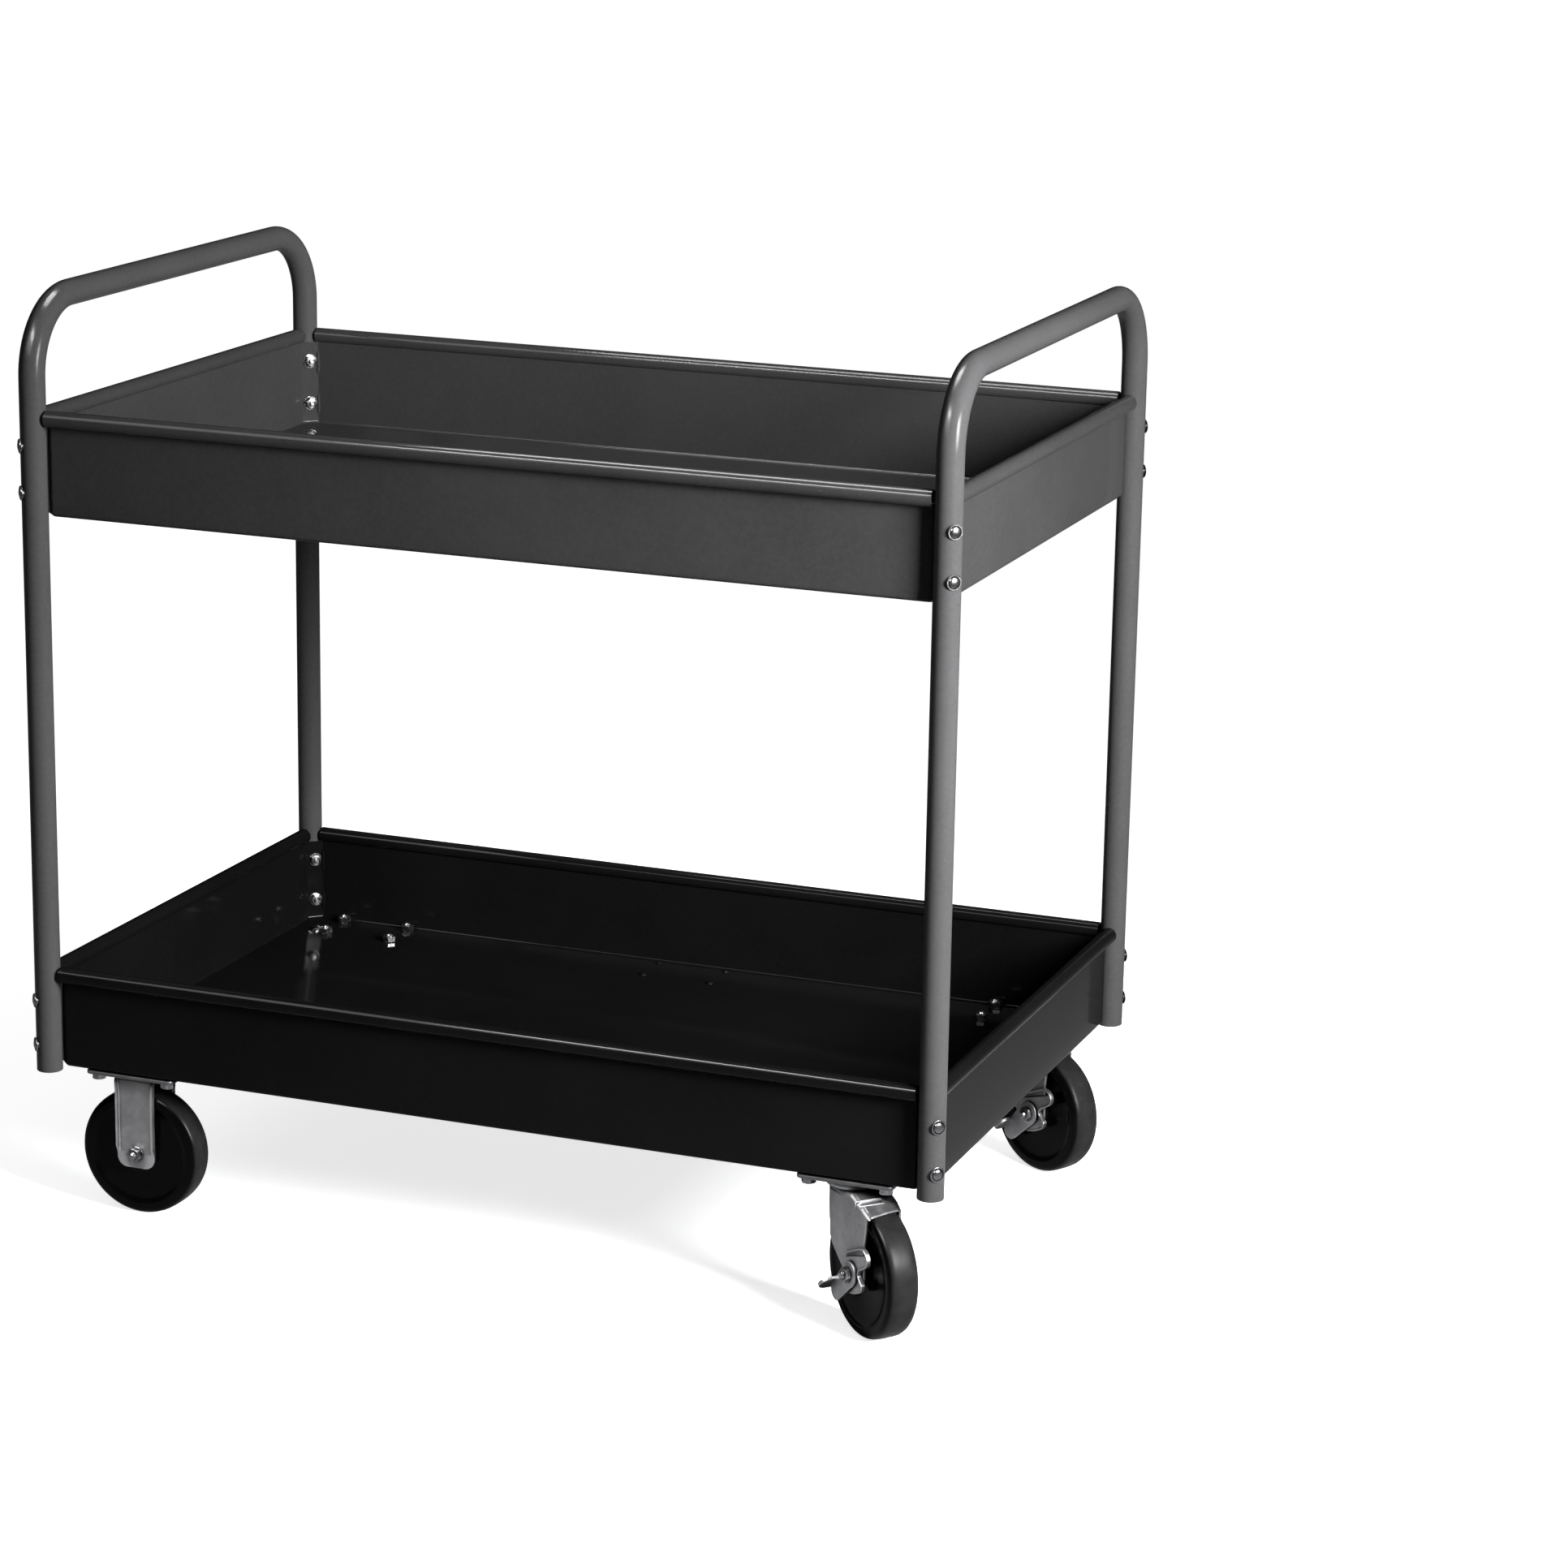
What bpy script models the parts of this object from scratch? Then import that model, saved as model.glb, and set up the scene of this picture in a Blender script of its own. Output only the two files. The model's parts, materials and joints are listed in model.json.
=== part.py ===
"""Rolling utility cart: two bent-tube end frames, two sheet-metal trays, two rigid and two swivel casters.

Metres, +Z up. The floor is z = 0, +X is the swivel-caster end, and the origin is under the middle of
the whole cart's box at rest. Run with: blender --background --python part.py
"""

import math

import bmesh
import bpy
from mathutils import Matrix, Vector

GAP = 0.0003  # clearance between pieces that rest on each other

# End frames: one bent tube each, which is both legs and the push handle.
LEG_SPAN_X = 0.9144
LEG_SPAN_Y = 0.5662
TUBE_R = 0.0127
TUBE_WALL = 0.00165
HANDLE_Z = 0.9029
HANDLE_BEND_R = 0.072
LEG_BOTTOM_Z = 0.1450
TUBE_SIDES = 14
BEND_STEPS = 5

# Trays: a pan with a rolled rim and a flat plate across each corner.
TRAY_BOTTOMS = {"lower": 0.1487, "upper": 0.6977}
SHEET = 0.0019
WALL_INSET = 0.0025  # wall's outer face, in from the leg axes
CORNER_GAP = 0.0008  # corner plate to the leg tube
BEAD_R = 0.0080
BEAD_RISE = 0.0948  # rim axis above the tray's bottom
BEAD_END = 0.0145  # rim's square end, from the leg axis
BEAD_SIDES = 12
PLUG_R = 0.0036
PLUG_RISE = 0.0026

# Bolts that hold the trays to the legs, and the casters to the lower tray.
FRAME_BOLT_R = 0.0031
FRAME_BOLT_HEAD_R = 0.0072
FRAME_BOLT_HEAD_H = 0.0027
DOME_SHOULDER = 0.72  # of the head, in height and in radius
DOME_TOP = 0.30
FRAME_BOLT_RISES = {"low": 0.0235, "high": 0.0685}
FRAME_NUT_FLATS = 0.0111
FRAME_NUT_H = 0.0055
CASTER_BOLT_R = 0.0038
CASTER_BOLT_FLATS = 0.0127
CASTER_BOLT_HEAD_H = 0.0065
CASTER_NUT_H = 0.0066
BOLT_TIP = 0.0022
HOLE_CLEARANCE = 0.0003
HOLE_SIDES = 8

# Casters.
CASTER_X = 0.372
BACK_SWIVEL_SHIFT = 0.0035  # the back swivel caster is bolted this much nearer its end
CASTER_Y = 0.247
PLATE_X = 0.0950
PLATE_Y = 0.0670
PLATE_T = 0.0035
PLATE_CORNER = 0.0060
PLATE_BOLTS_X = 0.0760
PLATE_BOLTS_Y = 0.0445
WHEEL_R = 0.0635
WHEEL_HALF = 0.0160
WHEEL_SHOULDER = 0.0060
HUB_HALF = 0.0172
HUB_R = 0.0170
HUB_FLARE = 0.0030
FACE_STEP = 0.0020
WHEEL_SIDES = 22
FORK_INNER = 0.0178  # inner face of a fork leg, from the wheel's middle plane
FORK_T = 0.0028
AXLE_R = 0.0040
BUSHING_R = 0.0070
AXLE_FLATS = 0.0130
AXLE_HEAD_H = 0.0055
TURNING_FIT = 0.00015  # radial room between a bore and what turns in it
CLAMP_FIT = 0.0002
ROUND_SIDES = 16

# Rigid caster's straight fork leg.
HORN_LEG_W = 0.0407
HORN_LEG_BOTTOM = 0.0495
HORN_LEG_CORNER = 0.0090
HORN_FLANGE = 0.0035
HORN_FLANGE_START = 0.0144  # above the leg's lower end

# Swivel caster: (u, z) is along its trail and up.
SWIVEL_TRAIL = 0.0390
SWIVEL_YAWS = {"front": math.radians(-42.4), "back": math.radians(-30.0)}
RACE_R = 0.0270
RACE_BOTTOM_Z = 0.1375
RACE_FLARE = 0.0030
CROWN_T = 0.0030
CROWN_R = 0.0280
CROWN_EDGE_U = 0.0620
CROWN_EDGE_Z = 0.1275
CROWN_FLAT_U = 0.0280
CROWN_LIP = 0.0030
KINGPIN_R = 0.0062
KINGPIN_HEAD_R = 0.0100
KINGPIN_HEAD_H = 0.0045
LEG_LEAD_U = -0.0100
LEG_WAIST_Z = 0.0960
LEG_FOOT_R = 0.0190
LEG_FOOT_ARC = (math.radians(200), math.radians(358))
LEG_KNEE = (-0.0030, 0.0780)  # where the leading edge turns back towards the foot
LEG_TAPER = 0.0045

# Side brake on a swivel caster's axle.
BRAKE_T = 0.0020
BRAKE_HOUSING_DEPTH = 0.0065
BRAKE_HOUSING_R = 0.0210
BRAKE_HOUSING_ARC = (math.radians(-60), math.radians(140))
BRAKE_HOUSING_HEEL = (-0.0126, -0.0125)
LEVER_T = 0.0028
LEVER_HUB_R = 0.0125
LEVER_REACH = 0.0360
LEVER_ANGLE = math.radians(225)
LEVER_TIP_R = 0.0095
LEVER_TAB = 0.0165
LEVER_TAB_T = 0.0040

# The front wheel trails out past the tray, so the cart's middle plane sits this far behind the origin.
CART_Y = 0.0146

ENDS = {"left": -1, "right": 1}
SIDES = {"front": -1, "back": 1}


# ---------------------------------------------------------------- objects and materials


def clear_scene():
    for obj in list(bpy.data.objects):
        bpy.data.objects.remove(obj, do_unlink=True)


def material(name, color, roughness, metallic):
    found = bpy.data.materials.get(name)
    if found:
        return found
    made = bpy.data.materials.new(name)
    made.use_nodes = True
    shader = made.node_tree.nodes["Principled BSDF"]
    shader.inputs["Base Color"].default_value = (*color, 1.0)
    shader.inputs["Roughness"].default_value = roughness
    shader.inputs["Metallic"].default_value = metallic
    return made


def enamel():
    return material("dark_enamel", (0.035, 0.035, 0.036), 0.22, 0.0)


def tube_enamel():
    return material("tube_enamel", (0.060, 0.060, 0.062), 0.20, 0.0)


def zinc():
    return material("zinc_plate", (0.62, 0.62, 0.61), 0.38, 1.0)


def bright_steel():
    return material("bright_steel", (0.72, 0.72, 0.72), 0.15, 1.0)


def tread():
    return material("black_tread", (0.012, 0.012, 0.013), 0.28, 0.0)


def object_from(name, bm, surface, matrix=None, smooth=True):
    """A new object from a bmesh, placed by matrix."""
    bmesh.ops.recalc_face_normals(bm, faces=bm.faces)
    mesh = bpy.data.meshes.new(name)
    bm.to_mesh(mesh)
    bm.free()
    if smooth:
        mesh.shade_smooth()
        mesh.set_sharp_from_angle(angle=math.radians(35))
    mesh.materials.append(surface)
    return placed(name, mesh, matrix)


def placed(name, mesh, matrix=None):
    obj = bpy.data.objects.new(name, mesh)
    bpy.context.scene.collection.objects.link(obj)
    if matrix is not None:
        obj.matrix_world = matrix
    return obj


def empty(name, matrix):
    """A joint or group marker."""
    obj = bpy.data.objects.new(name, None)
    obj.empty_display_size = 0.03
    bpy.context.scene.collection.objects.link(obj)
    obj.matrix_world = matrix
    return obj


def helper(obj):
    """Marks a Boolean operand, which isn't a node."""
    obj.hide_render = True
    obj.display_type = "WIRE"
    return obj


def boolean(obj, other, operation):
    step = obj.modifiers.new(operation.lower(), "BOOLEAN")
    step.operation = operation
    step.solver = "EXACT"
    step.object = helper(other)


# ---------------------------------------------------------------- shapes


def circle(radius, count):
    return [
        (radius * math.cos(2 * math.pi * i / count), radius * math.sin(2 * math.pi * i / count))
        for i in range(count)
    ]


def hexagon(flats, count):
    """A hexagon with extra points on its sides, so that it bridges to a circle of the same count."""
    corner = flats / 2 / math.cos(math.pi / 6)
    per_side = count // 6
    points = []
    for side in range(6):
        a = Vector((math.cos(side * math.pi / 3), math.sin(side * math.pi / 3))) * corner
        b = Vector((math.cos((side + 1) * math.pi / 3), math.sin((side + 1) * math.pi / 3))) * corner
        points += [tuple(a.lerp(b, i / per_side)) for i in range(per_side)]
    return points


def stack(sections, bm=None, to_world=None):
    """A closed solid through flat outlines at rising heights: [(z, [(x, y), ...]), ...]."""
    bm = bm or bmesh.new()
    to_world = to_world or Matrix()
    rings = [[bm.verts.new(to_world @ Vector((x, y, z))) for x, y in points] for z, points in sections]
    for lower, upper in zip(rings, rings[1:]):
        bridge(bm, lower, upper)
    bm.faces.new(reversed(rings[0]))
    bm.faces.new(rings[-1])
    return bm


def bridge(bm, lower, upper):
    count = len(lower)
    for i in range(count):
        j = (i + 1) % count
        bm.faces.new((lower[i], lower[j], upper[j], upper[i]))


def turned_ring(profile, count, bm=None, to_world=None):
    """A closed profile [(r, z), ...] turned about Z, with a bore through it."""
    bm = bm or bmesh.new()
    to_world = to_world or Matrix()
    rings = [
        [bm.verts.new(to_world @ Vector((x, y, z))) for x, y in circle(r, count)] for r, z in profile
    ]
    for lower, upper in zip(rings, rings[1:] + rings[:1]):
        bridge(bm, lower, upper)
    return bm


def prism(outline, thickness, bm=None, to_world=None):
    """An outline in XY, extruded from z = 0 to the thickness."""
    return stack([(0.0, outline), (thickness, outline)], bm, to_world)


def box(low, high, bm=None, to_world=None):
    outline = [(low[0], low[1]), (high[0], low[1]), (high[0], high[1]), (low[0], high[1])]
    return stack([(low[2], outline), (high[2], outline)], bm, to_world)


def arc(center, radius, start, end, steps):
    return [
        (
            center[0] + radius * math.cos(start + (end - start) * i / steps),
            center[1] + radius * math.sin(start + (end - start) * i / steps),
        )
        for i in range(steps + 1)
    ]


def frame_of(origin, along, up):
    """A matrix whose Z runs along `along` and whose X lies nearest to `up`."""
    z = Vector(along).normalized()
    y = z.cross(Vector(up)).normalized()
    x = y.cross(z)
    turn = Matrix((x, y, z)).transposed().to_4x4()
    return Matrix.Translation(origin) @ turn


# ---------------------------------------------------------------- end frames


def handle_path():
    """The tube's centre line in (y, z), from one leg's foot over the handle to the other's."""
    half = LEG_SPAN_Y / 2
    bend_y = half - HANDLE_BEND_R
    bend_z = HANDLE_Z - HANDLE_BEND_R
    first = arc((-bend_y, bend_z), HANDLE_BEND_R, math.pi, math.pi / 2, BEND_STEPS)
    second = arc((bend_y, bend_z), HANDLE_BEND_R, math.pi / 2, 0.0, BEND_STEPS)
    return [(-half, LEG_BOTTOM_Z)] + first + second + [(half, LEG_BOTTOM_Z)]


def swept_tube(path, outer, inner, count):
    """A tube open at both ends along a path in the YZ plane."""
    bm = bmesh.new()
    points = [Vector((0.0, y, z)) for y, z in path]
    across = Vector((1.0, 0.0, 0.0))
    outer_rings = []
    inner_rings = []
    for i, point in enumerate(points):
        before = points[max(i - 1, 0)]
        after = points[min(i + 1, len(points) - 1)]
        tangent = (after - before).normalized()
        if 0 < i < len(points) - 1:
            tangent = ((point - before).normalized() + (after - point).normalized()).normalized()
        side = tangent.cross(across)
        for rings, radius in ((outer_rings, outer), (inner_rings, inner)):
            rings.append([bm.verts.new(point + across * x + side * y) for x, y in circle(radius, count)])
    for lower, upper in zip(outer_rings, outer_rings[1:]):
        bridge(bm, lower, upper)
    for lower, upper in zip(inner_rings, inner_rings[1:]):
        bridge(bm, upper, lower)
    bridge(bm, inner_rings[0], outer_rings[0])
    bridge(bm, outer_rings[-1], inner_rings[-1])
    return bm


def corner_sites():
    """Each leg's (end name, side name, x, y, outward diagonal)."""
    for end, sx in ENDS.items():
        for side, sy in SIDES.items():
            outward = Vector((sx, sy, 0.0)).normalized()
            yield end, side, sx * LEG_SPAN_X / 2, CART_Y + sy * LEG_SPAN_Y / 2, outward


def frame_bolt_sites():
    """Each frame bolt's (name, end name, tray name, matrix with Z towards its head)."""
    for end, side, x, y, outward in corner_sites():
        for tray, bottom in TRAY_BOTTOMS.items():
            for level, rise in FRAME_BOLT_RISES.items():
                name = f"frame_bolt_{tray}_{side}_{end}_{level}"
                matrix = frame_of((x, y, bottom + rise), outward, (0, 0, 1))
                yield name, end, tray, matrix


def bolt_hole_cutter(name, sites, radius, low, high):
    bm = bmesh.new()
    outline = circle(radius / math.cos(math.pi / HOLE_SIDES), HOLE_SIDES)
    for matrix in sites:
        stack([(low, outline), (high, outline)], bm, matrix)
    return object_from(name, bm, zinc(), smooth=False)


def make_frames():
    for end, sx in ENDS.items():
        bm = swept_tube(handle_path(), TUBE_R, TUBE_R - TUBE_WALL, TUBE_SIDES)
        matrix = Matrix.Translation((sx * LEG_SPAN_X / 2, CART_Y, 0))
        frame = object_from(f"frame_{end}", bm, tube_enamel(), matrix)
        sites = [m for _, bolt_end, _, m in frame_bolt_sites() if bolt_end == end]
        reach = TUBE_R + SHEET
        cutter = bolt_hole_cutter(
            f"frame_holes_{end}", sites, FRAME_BOLT_R + HOLE_CLEARANCE, -reach, reach
        )
        boolean(frame, cutter, "DIFFERENCE")


# ---------------------------------------------------------------- trays


def tray_outline(inset):
    """The pan's plan: a rectangle with a flat across each corner, moved in from the wall's outer face."""
    half_x = LEG_SPAN_X / 2 - WALL_INSET - inset
    half_y = LEG_SPAN_Y / 2 - WALL_INSET - inset
    # Distance from the leg's axis to the corner plate, measured along x and y.
    diagonal = (TUBE_R + CORNER_GAP + inset) * math.sqrt(2)
    cut_x = LEG_SPAN_X / 2 - (diagonal - WALL_INSET - inset)
    cut_y = LEG_SPAN_Y / 2 - (diagonal - WALL_INSET - inset)
    return [
        (half_x, -cut_y),
        (half_x, cut_y),
        (cut_x, half_y),
        (-cut_x, half_y),
        (-half_x, cut_y),
        (-half_x, -cut_y),
        (-cut_x, -half_y),
        (cut_x, -half_y),
    ]


def pan_mesh():
    """Floor, walls and corner plates as one folded sheet, from z = 0 at its underside."""
    wall_top = BEAD_RISE - (BEAD_R - SHEET)
    bm = bmesh.new()
    rings = []
    for z, inset in ((0.0, 0.0), (wall_top, 0.0), (wall_top, SHEET), (SHEET, SHEET)):
        rings.append([bm.verts.new((x, y, z)) for x, y in tray_outline(inset)])
    for lower, upper in zip(rings, rings[1:]):
        bridge(bm, lower, upper)
    bm.faces.new(reversed(rings[0]))
    bm.faces.new(rings[-1])
    return bm


def rim_mesh():
    """The four rolled rims, each a straight tube with square, open ends."""
    bm = bmesh.new()
    for sy in SIDES.values():
        rolled_rim(bm, (0, sy * LEG_SPAN_Y / 2, BEAD_RISE), (1, 0, 0), LEG_SPAN_X / 2 - BEAD_END)
    for sx in ENDS.values():
        rolled_rim(bm, (sx * LEG_SPAN_X / 2, 0, BEAD_RISE), (0, 1, 0), LEG_SPAN_Y / 2 - BEAD_END)
    return bm


def rolled_rim(bm, middle, along, half):
    inner = BEAD_R - SHEET
    profile = ((BEAD_R, -half), (BEAD_R, half), (inner, half), (inner, -half))
    turned_ring(profile, BEAD_SIDES, bm, frame_of(middle, along, (0, 0, 1)))


def plate_bolt_offsets():
    for sx in (-1, 1):
        for sy in (-1, 1):
            yield sx * PLATE_BOLTS_X / 2, sy * PLATE_BOLTS_Y / 2


def plug_mesh():
    """Button plugs in the four spare holes at the middle of each long side."""
    bm = bmesh.new()
    for sy in SIDES.values():
        for dx, dy in plate_bolt_offsets():
            matrix = Matrix.Translation((dx, sy * CASTER_Y + dy, 0))
            sections = [
                (SHEET / 2, circle(PLUG_R, 8)),
                (SHEET + PLUG_RISE / 2, circle(PLUG_R, 8)),
                (SHEET + PLUG_RISE, circle(PLUG_R / 2, 8)),
            ]
            stack(sections, bm, matrix)
    return bm


def make_trays():
    for tray, bottom in TRAY_BOTTOMS.items():
        matrix = Matrix.Translation((0, CART_Y, bottom))
        pan = object_from(f"tray_{tray}", pan_mesh(), enamel(), matrix)
        boolean(pan, object_from(f"rim_{tray}", rim_mesh(), enamel(), matrix), "UNION")
        sites = [m for _, _, bolt_tray, m in frame_bolt_sites() if bolt_tray == tray]
        low = -(TUBE_R + CORNER_GAP + 2 * SHEET)
        cutter = bolt_hole_cutter(
            f"tray_side_holes_{tray}", sites, FRAME_BOLT_R + HOLE_CLEARANCE, low, -TUBE_R / 2
        )
        boolean(pan, cutter, "DIFFERENCE")
        if tray == "lower":
            sites = [m for _, m in caster_bolt_sites()]
            cutter = bolt_hole_cutter(
                "tray_floor_holes", sites, CASTER_BOLT_R + HOLE_CLEARANCE, -SHEET, 2 * SHEET
            )
            boolean(pan, cutter, "DIFFERENCE")
            boolean(pan, object_from("hole_plugs", plug_mesh(), enamel(), matrix), "UNION")


# ---------------------------------------------------------------- bolts


def frame_bolt_mesh():
    """Dome-headed bolt across a leg and its corner plate, with its nut: z = 0 is on the leg's axis."""
    seat = TUBE_R + GAP
    inner = -(TUBE_R + CORNER_GAP + SHEET + GAP)
    shank = circle(FRAME_BOLT_R, 12)
    nut = hexagon(FRAME_NUT_FLATS, 12)
    return stack(
        [
            (inner - FRAME_NUT_H, nut),
            (inner, nut),
            (inner, shank),
            (seat, shank),
            (seat, circle(FRAME_BOLT_HEAD_R, 12)),
            (seat + FRAME_BOLT_HEAD_H * DOME_SHOULDER, circle(FRAME_BOLT_HEAD_R * DOME_SHOULDER, 12)),
            (seat + FRAME_BOLT_HEAD_H, circle(FRAME_BOLT_HEAD_R * DOME_TOP, 12)),
        ]
    )


def caster_bolt_mesh():
    """Hex bolt up through a caster plate and the tray floor, with its nut: z = 0 is under the floor."""
    head_top = -(GAP + PLATE_T + GAP)
    nut_bottom = SHEET + GAP
    shank = circle(CASTER_BOLT_R, 6)
    flats = hexagon(CASTER_BOLT_FLATS, 6)
    return stack(
        [
            (head_top - CASTER_BOLT_HEAD_H, flats),
            (head_top, flats),
            (head_top, shank),
            (nut_bottom, shank),
            (nut_bottom, flats),
            (nut_bottom + CASTER_NUT_H, flats),
            (nut_bottom + CASTER_NUT_H, shank),
            (nut_bottom + CASTER_NUT_H + BOLT_TIP, shank),
        ]
    )


def caster_sites():
    """Each caster's (end name, side name, x, y)."""
    for end, sx in ENDS.items():
        for side, sy in SIDES.items():
            shift = BACK_SWIVEL_SHIFT if (end, side) == ("right", "back") else 0.0
            yield end, side, sx * CASTER_X + shift, CART_Y + sy * CASTER_Y


def caster_bolt_sites():
    for end, side, x, y in caster_sites():
        for number, (dx, dy) in enumerate(plate_bolt_offsets(), 1):
            matrix = Matrix.Translation((x + dx, y + dy, TRAY_BOTTOMS["lower"]))
            yield f"caster_bolt_{side}_{end}_{number}", matrix


def make_bolts():
    first = None
    for name, _, _, matrix in frame_bolt_sites():
        if first is None:
            first = object_from(name, frame_bolt_mesh(), bright_steel(), matrix)
        else:
            placed(name, first.data, matrix)
    first = None
    for name, matrix in caster_bolt_sites():
        if first is None:
            first = object_from(name, caster_bolt_mesh(), bright_steel(), matrix, smooth=False)
        else:
            placed(name, first.data, matrix)


# ---------------------------------------------------------------- caster pieces
# Each caster is modelled about its own vertical axis: x is along its travel, y is across it, z is
# height above the floor.


def plate_top():
    return TRAY_BOTTOMS["lower"] - GAP


def plate_mesh():
    outline = []
    for sx, sy, start in ((1, 1, 0), (-1, 1, 1), (-1, -1, 2), (1, -1, 3)):
        center = (sx * (PLATE_X / 2 - PLATE_CORNER), sy * (PLATE_Y / 2 - PLATE_CORNER))
        outline += arc(center, PLATE_CORNER, start * math.pi / 2, (start + 1) * math.pi / 2, 2)
    return prism(outline, PLATE_T, None, Matrix.Translation((0, 0, plate_top() - PLATE_T)))


def plate_holes(name, matrix):
    sites = [matrix @ Matrix.Translation((dx, dy, 0)) for dx, dy in plate_bolt_offsets()]
    low = plate_top() - 2 * PLATE_T
    return bolt_hole_cutter(name, sites, CASTER_BOLT_R + HOLE_CLEARANCE, low, low + 3 * PLATE_T)


def across_matrix(x, z):
    """A matrix whose Z runs across the caster, through (x, z)."""
    return frame_of((x, 0, z), (0, -1, 0), (0, 0, 1))


def wheel_mesh():
    """A moulded wheel with rounded shoulders and a plain bored hub, turned about Z."""
    bore = (BUSHING_R + TURNING_FIT) / math.cos(math.pi / WHEEL_SIDES)
    flat = WHEEL_R - WHEEL_SHOULDER
    edge = WHEEL_HALF - WHEEL_SHOULDER
    shoulder = arc((flat, edge), WHEEL_SHOULDER, math.pi / 2, 0.0, 3)
    hub = [(bore, HUB_HALF), (HUB_R, HUB_HALF), (HUB_R + HUB_FLARE, WHEEL_HALF - FACE_STEP)]
    half = hub + shoulder
    profile = half + [(r, -z) for r, z in reversed(half)]
    return turned_ring(profile, WHEEL_SIDES)


def bushing_mesh():
    """A steel spanner bushing, clamped between the fork's legs."""
    half = FORK_INNER - GAP
    bore = (AXLE_R + CLAMP_FIT) / math.cos(math.pi / ROUND_SIDES)
    profile = ((BUSHING_R, -half), (BUSHING_R, half), (bore, half), (bore, -half))
    return turned_ring(profile, ROUND_SIDES)


def axle_mesh(near_extra=0.0):
    """An axle bolt and its nut. Its head end is at -Z, and near_extra lengthens its nut end."""
    face = FORK_INNER + FORK_T + GAP
    shank = circle(AXLE_R, 12)
    flats = hexagon(AXLE_FLATS, 12)
    near = face + near_extra
    return stack(
        [
            (-face - AXLE_HEAD_H, flats),
            (-face, flats),
            (-face, shank),
            (near, shank),
            (near, flats),
            (near + AXLE_HEAD_H, flats),
            (near + AXLE_HEAD_H, shank),
            (near + AXLE_HEAD_H + BOLT_TIP, shank),
        ]
    )


def axle_hole_cutter(name, matrix):
    reach = FORK_INNER + 2 * FORK_T
    return bolt_hole_cutter(name, [matrix], AXLE_R + HOLE_CLEARANCE, -reach, reach)


def make_wheel_set(name, mount, matrix, nut_reach):
    """Bushing, axle and wheel about the axle through matrix, hung on the mount empty."""
    surfaces = {"axle": bright_steel(), "bushing": bright_steel(), "wheel": tread()}
    meshes = {"axle": axle_mesh(nut_reach), "bushing": bushing_mesh(), "wheel": wheel_mesh()}
    for piece, bm in meshes.items():
        obj = object_from(f"{piece}_{name}", bm, surfaces[piece])
        obj.parent = mount
        obj.matrix_local = matrix


# ---------------------------------------------------------------- rigid casters


def horn_leg_outline():
    """A straight leg with rounded lower corners, in (x, z)."""
    half = HORN_LEG_W / 2
    low = HORN_LEG_BOTTOM + HORN_LEG_CORNER
    inner = half - HORN_LEG_CORNER
    left = arc((-inner, low), HORN_LEG_CORNER, math.pi, 1.5 * math.pi, 3)
    right = arc((inner, low), HORN_LEG_CORNER, 1.5 * math.pi, 2 * math.pi, 3)
    top = plate_top() - PLATE_T / 2
    return left + right + [(half, top), (-half, top)]


def horn_legs_mesh():
    """The fork's two straight legs."""
    bm = bmesh.new()
    outline = [(z, x) for x, z in horn_leg_outline()]
    for low in (-FORK_INNER - FORK_T, FORK_INNER):
        prism(outline, FORK_T, bm, frame_of((0, low, 0), (0, 1, 0), (0, 0, 1)))
    return bm


def horn_flange_mesh(sx):
    """The stiffening flanges, turned outwards down one edge of both legs."""
    bm = bmesh.new()
    half = HORN_LEG_W / 2
    low_x, high_x = sorted((sx * half, sx * (half - FORK_T)))
    low_z = HORN_LEG_BOTTOM + HORN_FLANGE_START
    outer = FORK_INNER + FORK_T + HORN_FLANGE
    for sy in SIDES.values():
        low_y, high_y = sorted((sy * (FORK_INNER + FORK_T / 2), sy * outer))
        box((low_x, low_y, low_z), (high_x, high_y, plate_top() - PLATE_T / 2), bm)
    return bm


def make_rigid_caster(side, x, y):
    here = Matrix.Translation((x, y, 0))
    mount = empty(f"rigid_caster_{side}", here)
    horn = object_from(f"caster_horn_{side}_left", plate_mesh(), zinc())
    horn.parent = mount
    boolean(horn, object_from(f"horn_legs_{side}", horn_legs_mesh(), zinc(), here), "UNION")
    for end, sx in ENDS.items():
        flange = object_from(f"horn_flange_{side}_{end}", horn_flange_mesh(sx), zinc(), here)
        boolean(horn, flange, "UNION")
    boolean(horn, plate_holes(f"horn_plate_holes_{side}", here), "DIFFERENCE")
    axle = across_matrix(0, WHEEL_R)
    boolean(horn, axle_hole_cutter(f"horn_axle_holes_{side}", here @ axle), "DIFFERENCE")
    make_wheel_set(f"{side}_left", mount, axle, 0.0)


# ---------------------------------------------------------------- swivel casters


def swivel_race_mesh():
    """The fixed upper race under the top plate."""
    bore = KINGPIN_R + GAP + HOLE_CLEARANCE
    top = plate_top() - PLATE_T / 2
    profile = (
        (RACE_R, RACE_BOTTOM_Z),
        (RACE_R + RACE_FLARE, RACE_BOTTOM_Z + RACE_FLARE),
        (RACE_R + RACE_FLARE, top),
        (bore, top),
        (bore, RACE_BOTTOM_Z),
    )
    return turned_ring(profile, WHEEL_SIDES)


def kingpin_mesh():
    """The pivot rivet: its shank fills the plate's race and its head holds the yoke up."""
    crown_bottom = RACE_BOTTOM_Z - GAP - CROWN_T
    shank = circle(KINGPIN_R, ROUND_SIDES)
    head_top = crown_bottom - GAP
    return stack(
        [
            (head_top - KINGPIN_HEAD_H, circle(KINGPIN_HEAD_R * DOME_SHOULDER, ROUND_SIDES)),
            (head_top - KINGPIN_HEAD_H / 2, circle(KINGPIN_HEAD_R, ROUND_SIDES)),
            (head_top, circle(KINGPIN_HEAD_R, ROUND_SIDES)),
            (head_top, shank),
            (plate_top() - GAP, shank),
        ]
    )


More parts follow.
